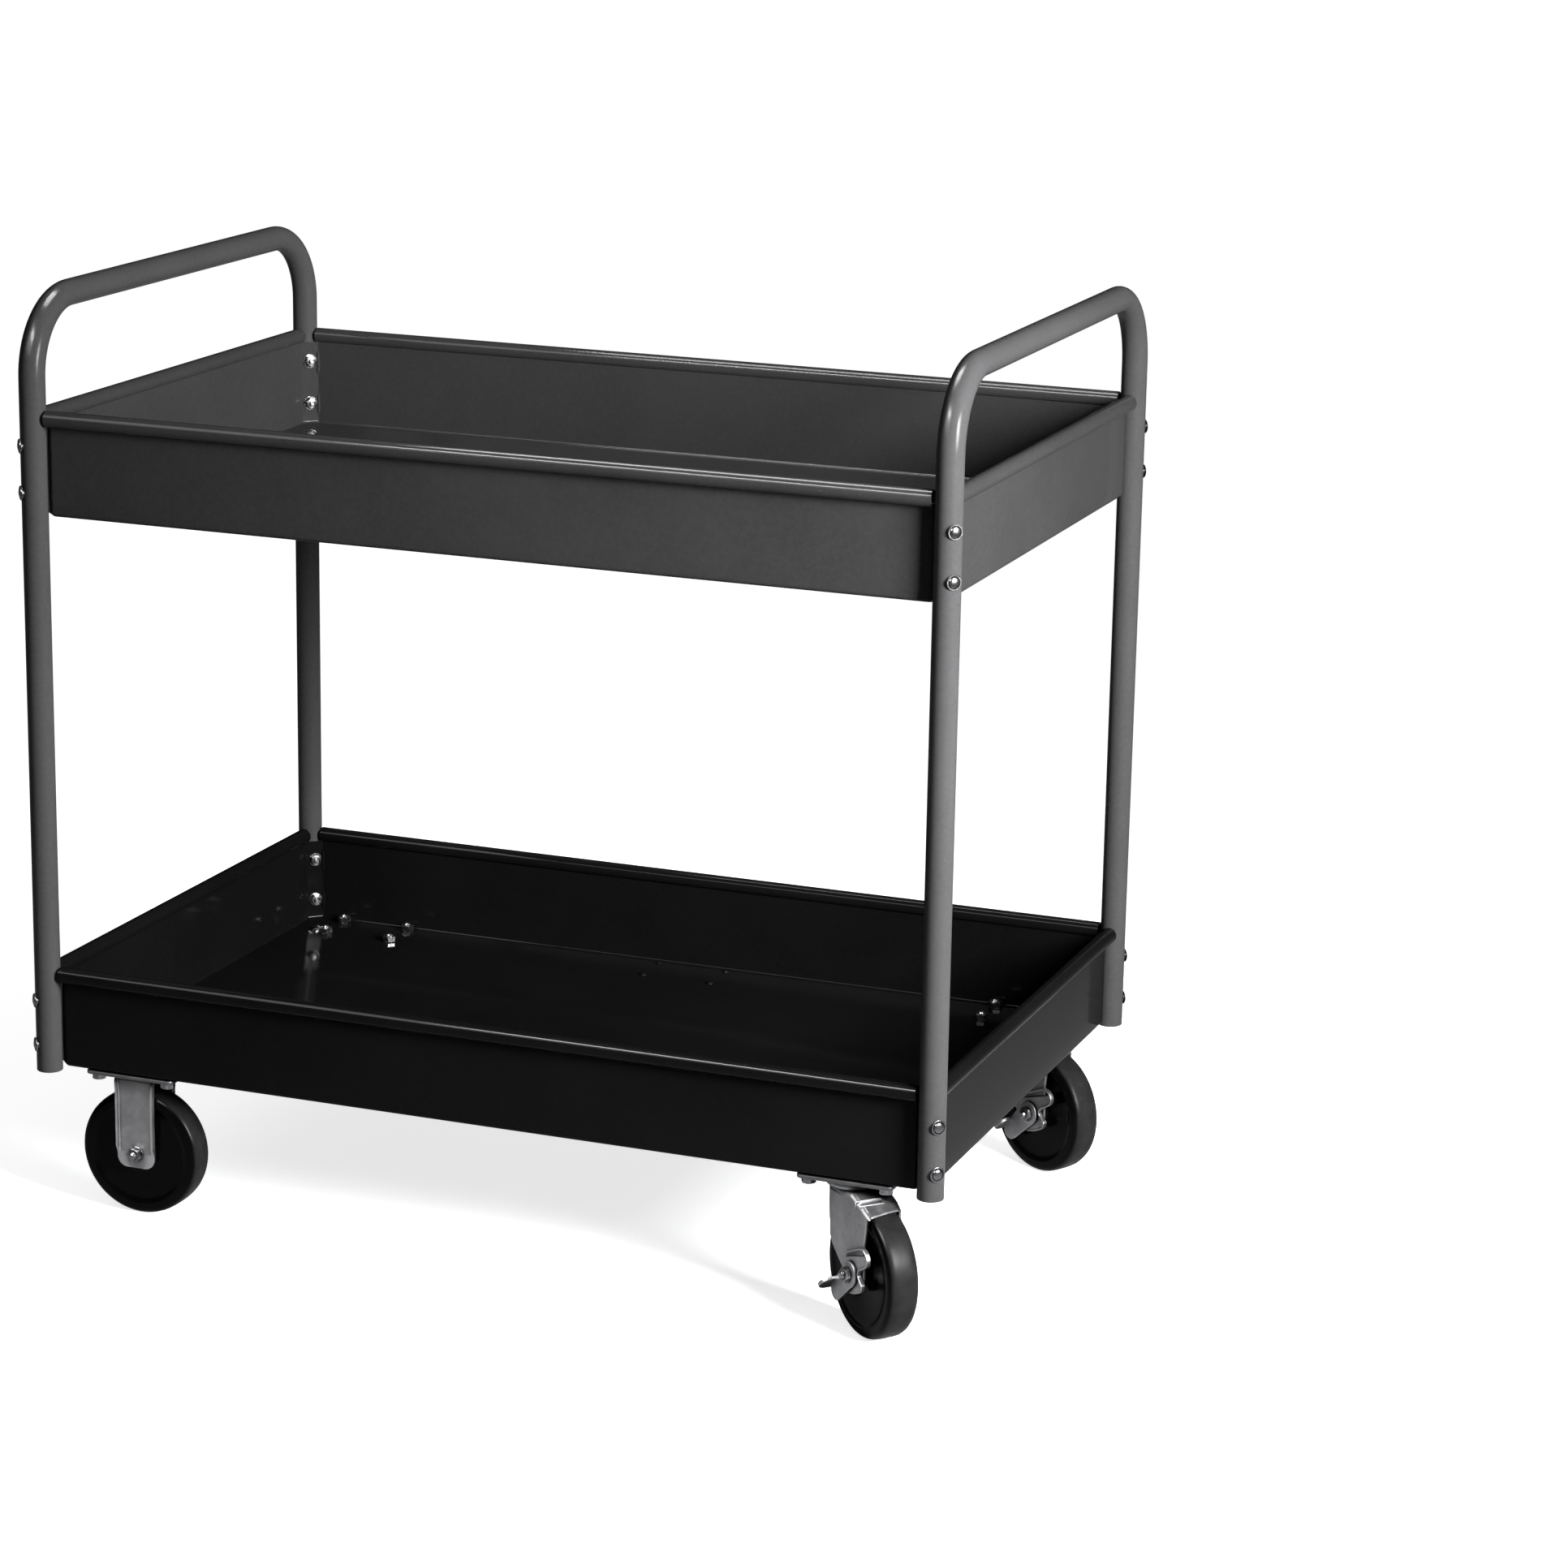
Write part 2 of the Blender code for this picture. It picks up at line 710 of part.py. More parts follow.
def yoke_leg_outline():
    """A swivel leg in (x, z): broad under the crown, tapering back to a round foot about the axle."""
    foot = arc((SWIVEL_TRAIL, WHEEL_R), LEG_FOOT_R, *LEG_FOOT_ARC, 6)
    crown_z = RACE_BOTTOM_Z - GAP - CROWN_T / 2
    trailing = [
        (CROWN_EDGE_U - LEG_TAPER, LEG_WAIST_Z),
        (CROWN_EDGE_U, CROWN_EDGE_Z - CROWN_T / 2),
        (CROWN_FLAT_U, crown_z),
    ]
    leading = [(LEG_LEAD_U, crown_z), (LEG_LEAD_U, LEG_WAIST_Z), LEG_KNEE]
    return foot + trailing + leading


def crown_outline():
    """The crown's section in (x, z): flat under the race, then sloping down to its trailing lip."""
    top = RACE_BOTTOM_Z - GAP
    slope = (top - CROWN_EDGE_Z) / (CROWN_EDGE_U - CROWN_FLAT_U)
    tip_u = CROWN_EDGE_U + CROWN_LIP
    tip_z = CROWN_EDGE_Z - slope * CROWN_LIP
    return [
        (LEG_LEAD_U - CROWN_LIP, top - CROWN_T),
        (CROWN_FLAT_U, top - CROWN_T),
        (tip_u, tip_z - CROWN_T),
        (tip_u, tip_z),
        (CROWN_FLAT_U, top),
        (LEG_LEAD_U - CROWN_LIP, top),
    ]


def make_yoke(side, mount, here):
    outer = FORK_INNER + FORK_T
    bm = bmesh.new()
    for low in (-outer, FORK_INNER):
        matrix = frame_of((0, low, 0), (0, 1, 0), (0, 0, 1))
        prism([(z, x) for x, z in yoke_leg_outline()], FORK_T, bm, matrix)
    legs = object_from(f"yoke_legs_{side}", bm, zinc(), here)
    matrix = frame_of((0, -outer, 0), (0, 1, 0), (0, 0, 1))
    crown = prism([(z, x) for x, z in crown_outline()], 2 * outer, None, matrix)
    disc_low = RACE_BOTTOM_Z - GAP - CROWN_T
    disc = prism(circle(CROWN_R, WHEEL_SIDES), CROWN_T, None, Matrix.Translation((0, 0, disc_low)))
    yoke = object_from(f"swivel_yoke_{side}", crown, zinc())
    yoke.parent = mount
    boolean(yoke, object_from(f"yoke_disc_{side}", disc, zinc(), here), "UNION")
    boolean(yoke, legs, "UNION")
    bore = KINGPIN_R + HOLE_CLEARANCE + GAP
    pivot = bolt_hole_cutter(f"yoke_pivot_hole_{side}", [here], bore, disc_low - CROWN_T, RACE_BOTTOM_Z)
    boolean(yoke, pivot, "DIFFERENCE")
    axle = across_matrix(SWIVEL_TRAIL, WHEEL_R)
    boolean(yoke, axle_hole_cutter(f"yoke_axle_holes_{side}", here @ axle), "DIFFERENCE")


def housing_arc(radius):
    return arc((0, 0), radius, *BRAKE_HOUSING_ARC, 9)


def make_brake(side, mount, here):
    """A housing fixed on the near leg and a lever that turns on the axle."""
    face = FORK_INNER + FORK_T + GAP
    axle = across_matrix(SWIVEL_TRAIL, WHEEL_R)
    turn = Matrix.Rotation(-math.pi / 2, 4, "Z")
    near = axle @ turn
    base = housing_arc(BRAKE_HOUSING_R) + [BRAKE_HOUSING_HEEL]
    floor = prism(base, BRAKE_T, None, Matrix.Translation((0, 0, face)))
    housing = object_from(f"brake_housing_{side}", floor, zinc())
    housing.parent = mount
    housing.matrix_local = near
    section = housing_arc(BRAKE_HOUSING_R) + housing_arc(BRAKE_HOUSING_R - BRAKE_T)[::-1]
    rim = prism(section, BRAKE_HOUSING_DEPTH, None, Matrix.Translation((0, 0, face + BRAKE_T / 2)))
    boolean(housing, object_from(f"brake_housing_rim_{side}", rim, zinc(), here @ near), "UNION")
    hole = bolt_hole_cutter(
        f"brake_housing_hole_{side}", [here @ near], AXLE_R + HOLE_CLEARANCE, 0.0, face + 2 * BRAKE_T
    )
    boolean(housing, hole, "DIFFERENCE")

    start = face + BRAKE_T + GAP
    tip = Vector((math.cos(LEVER_ANGLE), math.sin(LEVER_ANGLE))) * LEVER_REACH
    outline = arc((0, 0), LEVER_HUB_R, LEVER_ANGLE - 1.5 * math.pi, LEVER_ANGLE - 0.5 * math.pi, 8)
    outline += arc(tip, LEVER_TIP_R, LEVER_ANGLE - 0.5 * math.pi, LEVER_ANGLE + 0.5 * math.pi, 5)
    arm = prism(outline, LEVER_T, None, Matrix.Translation((0, 0, start)))
    lever = object_from(f"brake_lever_{side}", arm, zinc())
    lever.parent = mount
    lever.matrix_local = near
    turn_out = Matrix.Translation((tip.x, tip.y, start)) @ Matrix.Rotation(LEVER_ANGLE, 4, "Z")
    tab = box(
        (-LEVER_TIP_R, -LEVER_TIP_R - LEVER_TAB_T / 2, GAP),
        (LEVER_TIP_R, -LEVER_TIP_R + LEVER_TAB_T / 2, LEVER_TAB),
    )
    tab_matrix = here @ near @ turn_out
    boolean(lever, object_from(f"brake_tab_{side}", tab, zinc(), tab_matrix, smooth=False), "UNION")
    hole = bolt_hole_cutter(
        f"brake_lever_hole_{side}", [here @ near], AXLE_R + HOLE_CLEARANCE, face, start + 2 * LEVER_T
    )
    boolean(lever, hole, "DIFFERENCE")
    return 2 * GAP + BRAKE_T + LEVER_T


def make_swivel_caster(side, x, y):
    center = Matrix.Translation((x, y, 0))
    plate = object_from(f"swivel_plate_{side}", plate_mesh(), zinc(), center)
    race = object_from(f"swivel_race_{side}", swivel_race_mesh(), zinc(), center)
    boolean(plate, race, "UNION")
    boolean(plate, plate_holes(f"swivel_plate_holes_{side}", center), "DIFFERENCE")
    radius = KINGPIN_R + HOLE_CLEARANCE + GAP
    name = f"swivel_plate_bore_{side}"
    bore = bolt_hole_cutter(name, [center], radius, RACE_BOTTOM_Z - GAP, plate_top() + GAP)
    boolean(plate, bore, "DIFFERENCE")
    object_from(f"kingpin_{side}", kingpin_mesh(), bright_steel(), center)

    here = center @ Matrix.Rotation(SWIVEL_YAWS[side], 4, "Z")
    mount = empty(f"swivel_{side}", here)
    make_yoke(side, mount, here)
    nut_reach = make_brake(side, mount, here)
    make_wheel_set(f"{side}_right", mount, across_matrix(SWIVEL_TRAIL, WHEEL_R), nut_reach)


def make_casters():
    for end, side, x, y in caster_sites():
        if end == "left":
            make_rigid_caster(side, x, y)
        else:
            make_swivel_caster(side, x, y)


def main():
    clear_scene()
    make_frames()
    make_trays()
    make_bolts()
    make_casters()


main()
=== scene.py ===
"""The visual model of a rolling utility cart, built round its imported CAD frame."""

import json
import math

import bmesh
import bpy
import numpy as np
from mathutils import Matrix, Vector


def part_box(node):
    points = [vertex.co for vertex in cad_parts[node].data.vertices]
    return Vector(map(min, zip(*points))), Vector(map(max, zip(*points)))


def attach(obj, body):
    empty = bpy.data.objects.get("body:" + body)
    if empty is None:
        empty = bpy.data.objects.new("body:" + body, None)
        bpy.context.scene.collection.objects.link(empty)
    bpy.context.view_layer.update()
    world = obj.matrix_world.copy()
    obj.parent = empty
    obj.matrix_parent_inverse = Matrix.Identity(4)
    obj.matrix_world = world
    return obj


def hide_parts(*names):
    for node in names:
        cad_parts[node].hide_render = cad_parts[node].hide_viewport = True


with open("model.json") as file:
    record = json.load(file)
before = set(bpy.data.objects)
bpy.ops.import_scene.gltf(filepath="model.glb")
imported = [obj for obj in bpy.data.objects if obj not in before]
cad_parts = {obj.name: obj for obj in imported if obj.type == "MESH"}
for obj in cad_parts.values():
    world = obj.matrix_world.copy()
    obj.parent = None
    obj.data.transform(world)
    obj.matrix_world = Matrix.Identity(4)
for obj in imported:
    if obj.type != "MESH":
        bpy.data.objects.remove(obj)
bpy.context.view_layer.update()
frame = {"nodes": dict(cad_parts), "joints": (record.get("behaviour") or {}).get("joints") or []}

# Sheet metal, tube and fasteners, in metres: the sizes that the CAD uses.
SHEET = 0.0019
TUBE_R = 0.0127
TUBE_WALL = 0.00165
TUBE_SIDES = 56
HANDLE_BEND_R = 0.072
WALL_INSET = 0.0025
CORNER_GAP = 0.0008
FOLD_R = 0.0046  # outside radius of every fold in a tray's pan
BEAD_R = 0.0080
BEAD_END = 0.0145
GAP = 0.0003
BOLT_RISES = (0.0235, 0.0685)
FRAME_BOLT_R = 0.0031
FRAME_HEAD_R = 0.0072
FRAME_HEAD_H = 0.0027
FRAME_NUT_FLATS = 0.0111
FRAME_NUT_H = 0.0047
FRAME_WASHER_T = 0.0009
CASTER_BOLT_R = 0.0038
CASTER_FLATS = 0.0127
CASTER_HEAD_H = 0.0065
CASTER_NUT_H = 0.0060
CASTER_WASHER_T = 0.0011
PLATE_HALF = (0.0475, 0.0335)
PLATE_T = 0.0035
PLATE_CORNER = 0.0060
PLATE_EDGE = 0.0006
PLATE_BOLTS = (0.0380, 0.02225)
WHEEL_R = 0.0635
FORK_INNER = 0.0178
FORK_T = 0.0028
AXLE_R = 0.0040
AXLE_FLATS = 0.0130
AXLE_HEAD_H = 0.0055
AXLE_WASHER_R = 0.0084
AXLE_WASHER_T = 0.0010
BRAKE_STACK = 0.0054  # brake housing and lever between the yoke and the axle's nut
BUSHING_R = 0.0070
LEG_BOTTOM = 0.0495
LEG_HALF = 0.02035
LEG_CORNER = 0.0110
TRAIL = 0.0390
RACE_BOTTOM = 0.1375
BEND_R = 0.0045  # at the shoulders of both forks
CROWN_FLAT = 0.0280
CROWN_SLOPE = 0.343
HOUSING_T = 0.0019
HOUSING_RIM = 0.0047
LEVER_T = 0.0026
LEVER_REACH = 0.0360
LEVER_ANGLE = 225
TAB_R = 0.0093

CAMERA_PLACE = (1.65136, -3.84279, 1.52787)
CAMERA_TURN = (75.2013, -1.0024, 20.8677)
CAMERA_LENS = 100.61

HORIZON = 0.02
OVERHEAD = 1.0
WORLD = 0.45
FLOOR_HALF = 40.0
FLOOR_BOUNCE = 0.38
FLOOR_GLOW = 0.78

NOISE_SHIFT = (3.37, 5.61, 7.19)
# Samples of the ambient occlusion that paints shade into corners.
SHADE_SAMPLES = 6
SHARP = 32  # degrees between faces, from which an edge is drawn sharp

SIDES = {"front": -1, "back": 1}
ENDS = {"left": -1, "right": 1}
JOINTS = {joint["name"]: joint for joint in frame["joints"]}

tube_low, tube_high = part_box("frame_left")
right_low, right_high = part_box("frame_right")
LEG_X = (right_low.x + right_high.x) / 2
LEG_Y = (tube_high.y - tube_low.y) / 2 - TUBE_R
MID_Y = (tube_high.y + tube_low.y) / 2
TRAY_Z = {name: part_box(f"tray_{name}")[0].z for name in ("lower", "upper")}
BEAD_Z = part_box("tray_lower")[1].z - TRAY_Z["lower"] - BEAD_R
PLATE_TOP = TRAY_Z["lower"] - GAP


# ---------------------------------------------------------------- pieces


def mesh_of(name, bm, surface, sharp=SHARP):
    """A finished mesh: faces out, smooth but for its sharp edges, with one material."""
    bmesh.ops.recalc_face_normals(bm, faces=bm.faces)
    mesh = bpy.data.meshes.new(name)
    bm.to_mesh(mesh)
    bm.free()
    mesh.shade_smooth()
    mesh.set_sharp_from_angle(angle=math.radians(sharp))
    mesh.materials.append(surface)
    return mesh


def add_piece(name, mesh, matrix, body, node):
    """A visible piece, which rides on a body and stands for a CAD node."""
    obj = bpy.data.objects.new(name, mesh)
    bpy.context.scene.collection.objects.link(obj)
    obj.matrix_world = matrix
    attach(obj, body)
    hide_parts(node)


# ---------------------------------------------------------------- mesh helpers


def bridge(bm, lower, upper):
    """Faces between two rings of as many vertices."""
    for i in range(len(lower)):
        j = (i + 1) % len(lower)
        bm.faces.new((lower[i], lower[j], upper[j], upper[i]))


def ring(bm, points):
    return [bm.verts.new(p) for p in points]


def loft(bm, sections):
    """A solid through rings of 3-D points."""
    rings = [ring(bm, points) for points in sections]
    for lower, upper in zip(rings, rings[1:]):
        bridge(bm, lower, upper)
    bm.faces.new(reversed(rings[0]))
    bm.faces.new(rings[-1])


def circle(radius, count):
    steps = [2 * math.pi * i / count for i in range(count)]
    return [(radius * math.cos(a), radius * math.sin(a)) for a in steps]


def arc(center, radius, start, end, steps):
    """Points on an arc, with its angles in degrees."""
    angles = np.radians(np.linspace(start, end, steps + 1))
    return [(center[0] + radius * math.cos(a), center[1] + radius * math.sin(a)) for a in angles]


def curve(points, steps):
    """A smooth line through 2-D points, by Catmull and Rom's rule."""
    ends = [Vector(points[0])] + [Vector(p) for p in points] + [Vector(points[-1])]
    line = []
    for a, b, c, d in zip(ends, ends[1:], ends[2:], ends[3:]):
        square = a * 2 - b * 5 + c * 4 - d
        cube = b * 3 - a - c * 3 + d
        for i in range(steps):
            t = i / steps
            line.append(tuple((b * 2 + (c - a) * t + square * t**2 + cube * t**3) / 2))
    return line + [tuple(ends[-1])]


def lathe(bm, profile, count, matrix=None, closed=False):
    """A profile [(r, z), ...] turned about Z. Points on the axis become poles."""
    matrix = matrix or Matrix()
    rings = []
    for r, z in profile:
        if r < 1e-7:
            rings.append([bm.verts.new(matrix @ Vector((0, 0, z)))])
        else:
            rings.append(ring(bm, [matrix @ Vector((x, y, z)) for x, y in circle(r, count)]))
    following = rings[1:] + rings[:1] if closed else rings[1:]
    for lower, upper in zip(rings, following):
        if len(lower) == len(upper):
            bridge(bm, lower, upper)
            continue
        pole, loop = (lower[0], upper) if len(lower) == 1 else (upper[0], lower)
        for i in range(count):
            bm.faces.new((pole, loop[i], loop[(i + 1) % count]))


def upright(outline, z):
    """An outline in XY as a ring of 3-D points at one height."""
    return [Vector((x, y, z)) for x, y in outline]


def prism(bm, outline, low, high, bevel, matrix=None):
    """An outline in XY from z = low to high, with its two faces' edges rounded by bevel."""
    matrix = matrix or Matrix()
    levels = [(low, bevel), (low + bevel * 0.3, bevel * 0.3), (low + bevel, 0.0)]
    levels += [(high - bevel, 0.0), (high - bevel * 0.3, bevel * 0.3), (high, bevel)]
    sections = []
    for z, inset in levels:
        sections.append([matrix @ p for p in upright(offset(outline, inset), z)])
    loft(bm, sections)


def offset(outline, inset):
    """An outline moved inwards, corner by corner. It runs anticlockwise."""
    if not inset:
        return outline
    moved = []
    count = len(outline)
    for i in range(count):
        before = Vector(outline[i - 1])
        here = Vector(outline[i])
        after = Vector(outline[(i + 1) % count])
        a = (here - before).normalized()
        b = (after - here).normalized()
        normal = Vector((-a.y - b.y, a.x + b.x))
        if normal.length < 1e-6:
            moved.append(tuple(here))
            continue
        normal.normalize()
        slant = max(0.4, normal.dot(Vector((-a.y, a.x))))
        moved.append(tuple(here + normal * (inset / slant)))
    return moved


def frame_of(origin, along):
    """A matrix whose Z runs along `along` and whose X lies nearest to straight up."""
    z = Vector(along).normalized()
    y = z.cross(Vector((0, 0, 1))).normalized()
    x = y.cross(z)
    return Matrix.Translation(origin) @ Matrix((x, y, z)).transposed().to_4x4()


def fused(bm, voxel, passes):
    """The outside of overlapping solids as one skin, softened by smoothing passes."""
    mesh = bpy.data.meshes.new("fused")
    bmesh.ops.recalc_face_normals(bm, faces=bm.faces)
    bm.to_mesh(mesh)
    bm.free()
    obj = bpy.data.objects.new("fused", mesh)
    bpy.context.scene.collection.objects.link(obj)
    step = obj.modifiers.new("skin", "REMESH")
    step.mode = "VOXEL"
    step.voxel_size = voxel
    graph = bpy.context.evaluated_depsgraph_get()
    out = bmesh.new()
    out.from_mesh(obj.evaluated_get(graph).to_mesh())
    bpy.data.objects.remove(obj, do_unlink=True)
    bpy.data.meshes.remove(mesh)
    for _ in range(passes):
        bmesh.ops.smooth_vert(
            out, verts=out.verts, factor=0.5, use_axis_x=True, use_axis_y=True, use_axis_z=True
        )
    return out


def add_hex(bm, flats, plain, chamfered):
    """A hex nut or head about Z: one end is plain, and a cone cuts the other's corners."""
    count = 36
    apothem = flats / 2
    corner = apothem / math.cos(math.pi / 6)
    depth = (corner - apothem) * 0.62
    sense = 1 if plain > chamfered else -1

    def section(z, cone):
        points = []
        for i in range(count):
            a = 2 * math.pi * i / count
            bend = (a % (math.pi / 3)) - math.pi / 6
            r = min(apothem / math.cos(bend), cone)
            points.append((r * math.cos(a), r * math.sin(a), z))
        return points

    sections = [section(chamfered, apothem * 0.96)]
    for share in (0.0, 0.35, 0.7):
        cone = apothem + (corner - apothem) * share
        sections.append(section(chamfered + sense * depth * (0.2 + 0.8 * share), cone))
    sections += [section(chamfered + sense * depth, corner), section(plain, corner)]
    loft(bm, sections[::sense])


def add_thread(bm, radius, low, high):
    """A bolt's threaded tip, its ridges turned as rings, with a chamfered end at `high`."""
    pitch = 0.0010
    root = radius * 0.86
    sense = 1 if high > low else -1
    profile = [(0.0, low), (root, low)]
    turns = max(1, int(abs(high - low) / pitch) - 1)
    for i in range(turns):
        z = low + sense * pitch * i
        profile += [(root, z + sense * pitch * 0.15), (radius, z + sense * pitch * 0.6)]
    profile += [(root, high - sense * pitch * 0.7), (radius * 0.62, high), (0.0, high)]
    lathe(bm, profile, 20)


def add_washer(bm, inner, outer, low, high):
    edge = min(0.0002, abs(high - low) / 3)
    sense = 1 if high > low else -1
    profile = [
        (inner, low), (outer - edge, low), (outer, low + sense * edge),
        (outer, high - sense * edge), (outer - edge, high), (inner, high),
    ]
    lathe(bm, profile, 32, closed=True)


# ---------------------------------------------------------------- materials


class Nodes:
    """A small maker of node trees."""

    def __init__(self, name):
        self.material = bpy.data.materials.new(name)
        self.material.use_nodes = True
        self.tree = self.material.node_tree
        self.shader = self.tree.nodes["Principled BSDF"]
        self.local = self.tree.nodes.new("ShaderNodeTexCoord").outputs["Object"]
        # The layers of a noise line up on the planes through its zero, so that lies off the object.
        shifted = {"Vector": self.local, "Location": NOISE_SHIFT}
        self.place = self.node("ShaderNodeMapping", shifted).outputs[0]

    def node(self, kind, inputs=(), **settings):
        made = self.tree.nodes.new(kind)
        for key, value in settings.items():
            setattr(made, key, value)
        for socket, value in dict(inputs).items():
            target = made.inputs[socket]
            if isinstance(value, bpy.types.NodeSocket):
                self.tree.links.new(value, target)
            else:
                target.default_value = value
        return made

    def noise(self, scale, detail=3.0, rough=0.5, stretch=None, distort=0.0):
        place = self.place
        if stretch:
            place = self.node("ShaderNodeMapping", {"Vector": place, "Scale": stretch}).outputs[0]
        sockets = {"Vector": place, "Scale": scale, "Detail": detail}
        sockets |= {"Roughness": rough, "Distortion": distort}
        return self.node("ShaderNodeTexNoise", sockets).outputs["Fac"]

    def along(self, axis):
        """The object's own X, Y or Z coordinate."""
        return self.node("ShaderNodeSeparateXYZ", {0: self.local}).outputs[axis]

    def ranged(self, value, low, high, to_low, to_high):
        """A value mapped from low..high to to_low..to_high, and clamped there."""
        sockets = {"Value": value, "From Min": low, "From Max": high}
        sockets |= {"To Min": to_low, "To Max": to_high}
        return self.node("ShaderNodeMapRange", sockets).outputs["Result"]

    def openness(self, reach, low, high):
        """How open the surface is, from 0 in a tight corner to 1."""
        sockets = {"Distance": reach}
        seen = self.node("ShaderNodeAmbientOcclusion", sockets, samples=SHADE_SAMPLES)
        return self.ranged(seen.outputs["AO"], low, high, 0.0, 1.0)

    def math(self, operation, a, b):
        return self.node("ShaderNodeMath", {0: a, 1: b}, operation=operation).outputs[0]

    def mix(self, share, a, b):
        made = self.node("ShaderNodeMix", data_type="RGBA")
        for index, value in ((0, share), (6, a), (7, b)):
            if isinstance(value, bpy.types.NodeSocket):
                self.tree.links.new(value, made.inputs[index])
            else:
                made.inputs[index].default_value = value
        return made.outputs[2]

    def bump(self, height, strength, distance, normal=None):
        sockets = {"Height": height, "Strength": strength, "Distance": distance}
        if normal:
            sockets["Normal"] = normal
        return self.node("ShaderNodeBump", sockets).outputs["Normal"]

    def link(self, value, socket):
        self.tree.links.new(value, self.shader.inputs[socket])

    def fixed(self, **values):
        """Sets the shader's own sockets, and returns the finished material."""
        for key, value in values.items():
            self.shader.inputs[key.replace("_", " ")].default_value = value
        return self.material


def grey(value):
    return (value, value, value * 1.02, 1.0)


def enamel(name, dark, light, rough, peel, shine):
    """Baked gloss enamel: uneven colour, orange peel, rubbed patches and a few dust specks."""
    n = Nodes(name)
    cloud = n.ranged(n.noise(5.0, 4.0, 0.6), 0.3, 0.7, 0.0, 1.0)
    base = n.mix(cloud, grey(dark), grey(light))
    mottle = n.ranged(n.noise(260.0, 3.0, 0.6), 0.35, 0.65, 0.0, 0.22)
    base = n.mix(mottle, base, grey(light * 1.4))
    specks = n.ranged(n.noise(520.0, 2.0, 0.5), 0.735, 0.76, 0.0, 0.30)
    base = n.mix(specks, base, grey(min(0.12, light * 8.0)))
    n.link(base, "Base Color")
    rubbed = n.ranged(n.noise(9.0, 6.0, 0.65), 0.45, 0.75, rough * 0.85, rough * 1.35)
    fine = n.ranged(n.noise(150.0, 4.0, 0.6), 0.3, 0.7, -rough * 0.12, rough * 0.12)
    n.link(n.math("ADD", rubbed, fine), "Roughness")
    wave = n.bump(n.noise(7.0, 1.0), 0.08, 0.0020)
    n.link(n.bump(n.noise(420.0, 2.0, 0.5), peel, 0.00030, wave), "Normal")
    return n.fixed(Specular_IOR_Level=shine)


def metal(name, dark, light, rough_low, rough_high, grain, brushed, painted_corner_shade):
    """Plated steel: patchy lustre, fine grain, scratches, worn edges, and painted shade where parts
    meet, in creases and under the tray.

    `brushed` scales the scratches' noise, so that they run across Z. The last argument gives how
    far the painted shade in corners reaches, the openness where it is darkest and where it ends,
    and its depth.
    """
    n = Nodes(name)
    patch = n.ranged(n.noise(46.0, 5.0, 0.6), 0.3, 0.7, 0.0, 1.0)
    base = n.mix(patch, grey(dark), grey(light))
    hollow = n.node("ShaderNodeNewGeometry").outputs["Pointiness"]
    base = n.mix(n.ranged(hollow, 0.505, 0.57, 0.0, 0.8), base, grey(min(1.0, light * 1.5)))
    # Concave creases are painted darker: painted shade.
    base = n.mix(n.ranged(hollow, 0.42, 0.49, 0.8, 0.0), base, grey(dark * 0.35))
    lines = n.noise(30.0, 8.0, 0.7, brushed, 0.2)
    scratch = n.ranged(lines, 0.62, 0.75, 0.0, 1.0)
    base = n.mix(n.math("MULTIPLY", scratch, 0.35), base, grey(light))
    # Painted shade: corners that ambient occlusion finds closed in are painted near black.
    reach, low, high, depth = painted_corner_shade
    closed = n.math("SUBTRACT", 1.0, n.openness(reach, low, high))
    painted_shade_black = grey(dark * 0.06)
    base = n.mix(n.math("MULTIPLY", closed, depth), base, painted_shade_black)
    # The parts right under the lower tray are painted darker than the rest: painted shade from the
    # tray above.
    under = PLATE_TOP - PLATE_T
    base = n.mix(n.ranged(n.along("Z"), under - 0.0060, under - 0.0010, 0.0, 0.72), base, painted_shade_black)
    n.link(base, "Base Color")
    gloss = n.ranged(n.noise(120.0, 6.0, 0.65), 0.3, 0.7, rough_low, rough_high)
    n.link(n.math("ADD", gloss, n.math("MULTIPLY", scratch, 0.12)), "Roughness")
    fine = n.bump(n.noise(900.0, 3.0, 0.6), grain, 0.00012)
    n.link(n.bump(lines, grain * 0.6, 0.0001, fine), "Normal")
    return n.fixed(Metallic=1.0)


def wheel_black():
    """Hard moulded wheel: glossy black flanks, and a duller tread painted lighter, partly dust and
    partly painted sheen.
    """
    n = Nodes("wheel_moulded_black")
    squares = n.math("ADD", n.math("POWER", n.along("X"), 2.0), n.math("POWER", n.along("Y"), 2.0))
    tread = n.ranged(n.math("SQRT", squares, 0.0), WHEEL_R - 0.0030, WHEEL_R - 0.0008, 0.0, 1.0)
    cloud = n.ranged(n.noise(60.0, 5.0, 0.6), 0.3, 0.7, 0.0, 1.0)
    base = n.mix(cloud, grey(0.0008), grey(0.0022))
    # The tread's lighter tone is partly dust and partly a painted sheen where the tread catches
    # light.
    tread_dust_and_sheen = n.mix(cloud, grey(0.0085), grey(0.0165))
    base = n.mix(tread, base, tread_dust_and_sheen)
    specks = n.ranged(n.noise(700.0, 4.0, 0.7), 0.68, 0.80, 0.0, 0.30)
    scuffs = n.ranged(n.noise(90.0, 8.0, 0.8), 0.64, 0.80, 0.0, 0.08)
    base = n.mix(n.math("MAXIMUM", specks, scuffs), base, grey(0.04))
    n.link(base, "Base Color")
    gloss = n.ranged(n.noise(85.0, 6.0, 0.7), 0.3, 0.75, 0.14, 0.24)
    n.link(n.math("ADD", gloss, n.math("MULTIPLY", tread, 0.16)), "Roughness")
    fine = n.bump(n.noise(650.0, 4.0, 0.6), 0.10, 0.0002)
    n.link(n.bump(n.noise(40.0, 2.0), 0.10, 0.0008, fine), "Normal")
    return n.fixed(Specular_IOR_Level=0.07)


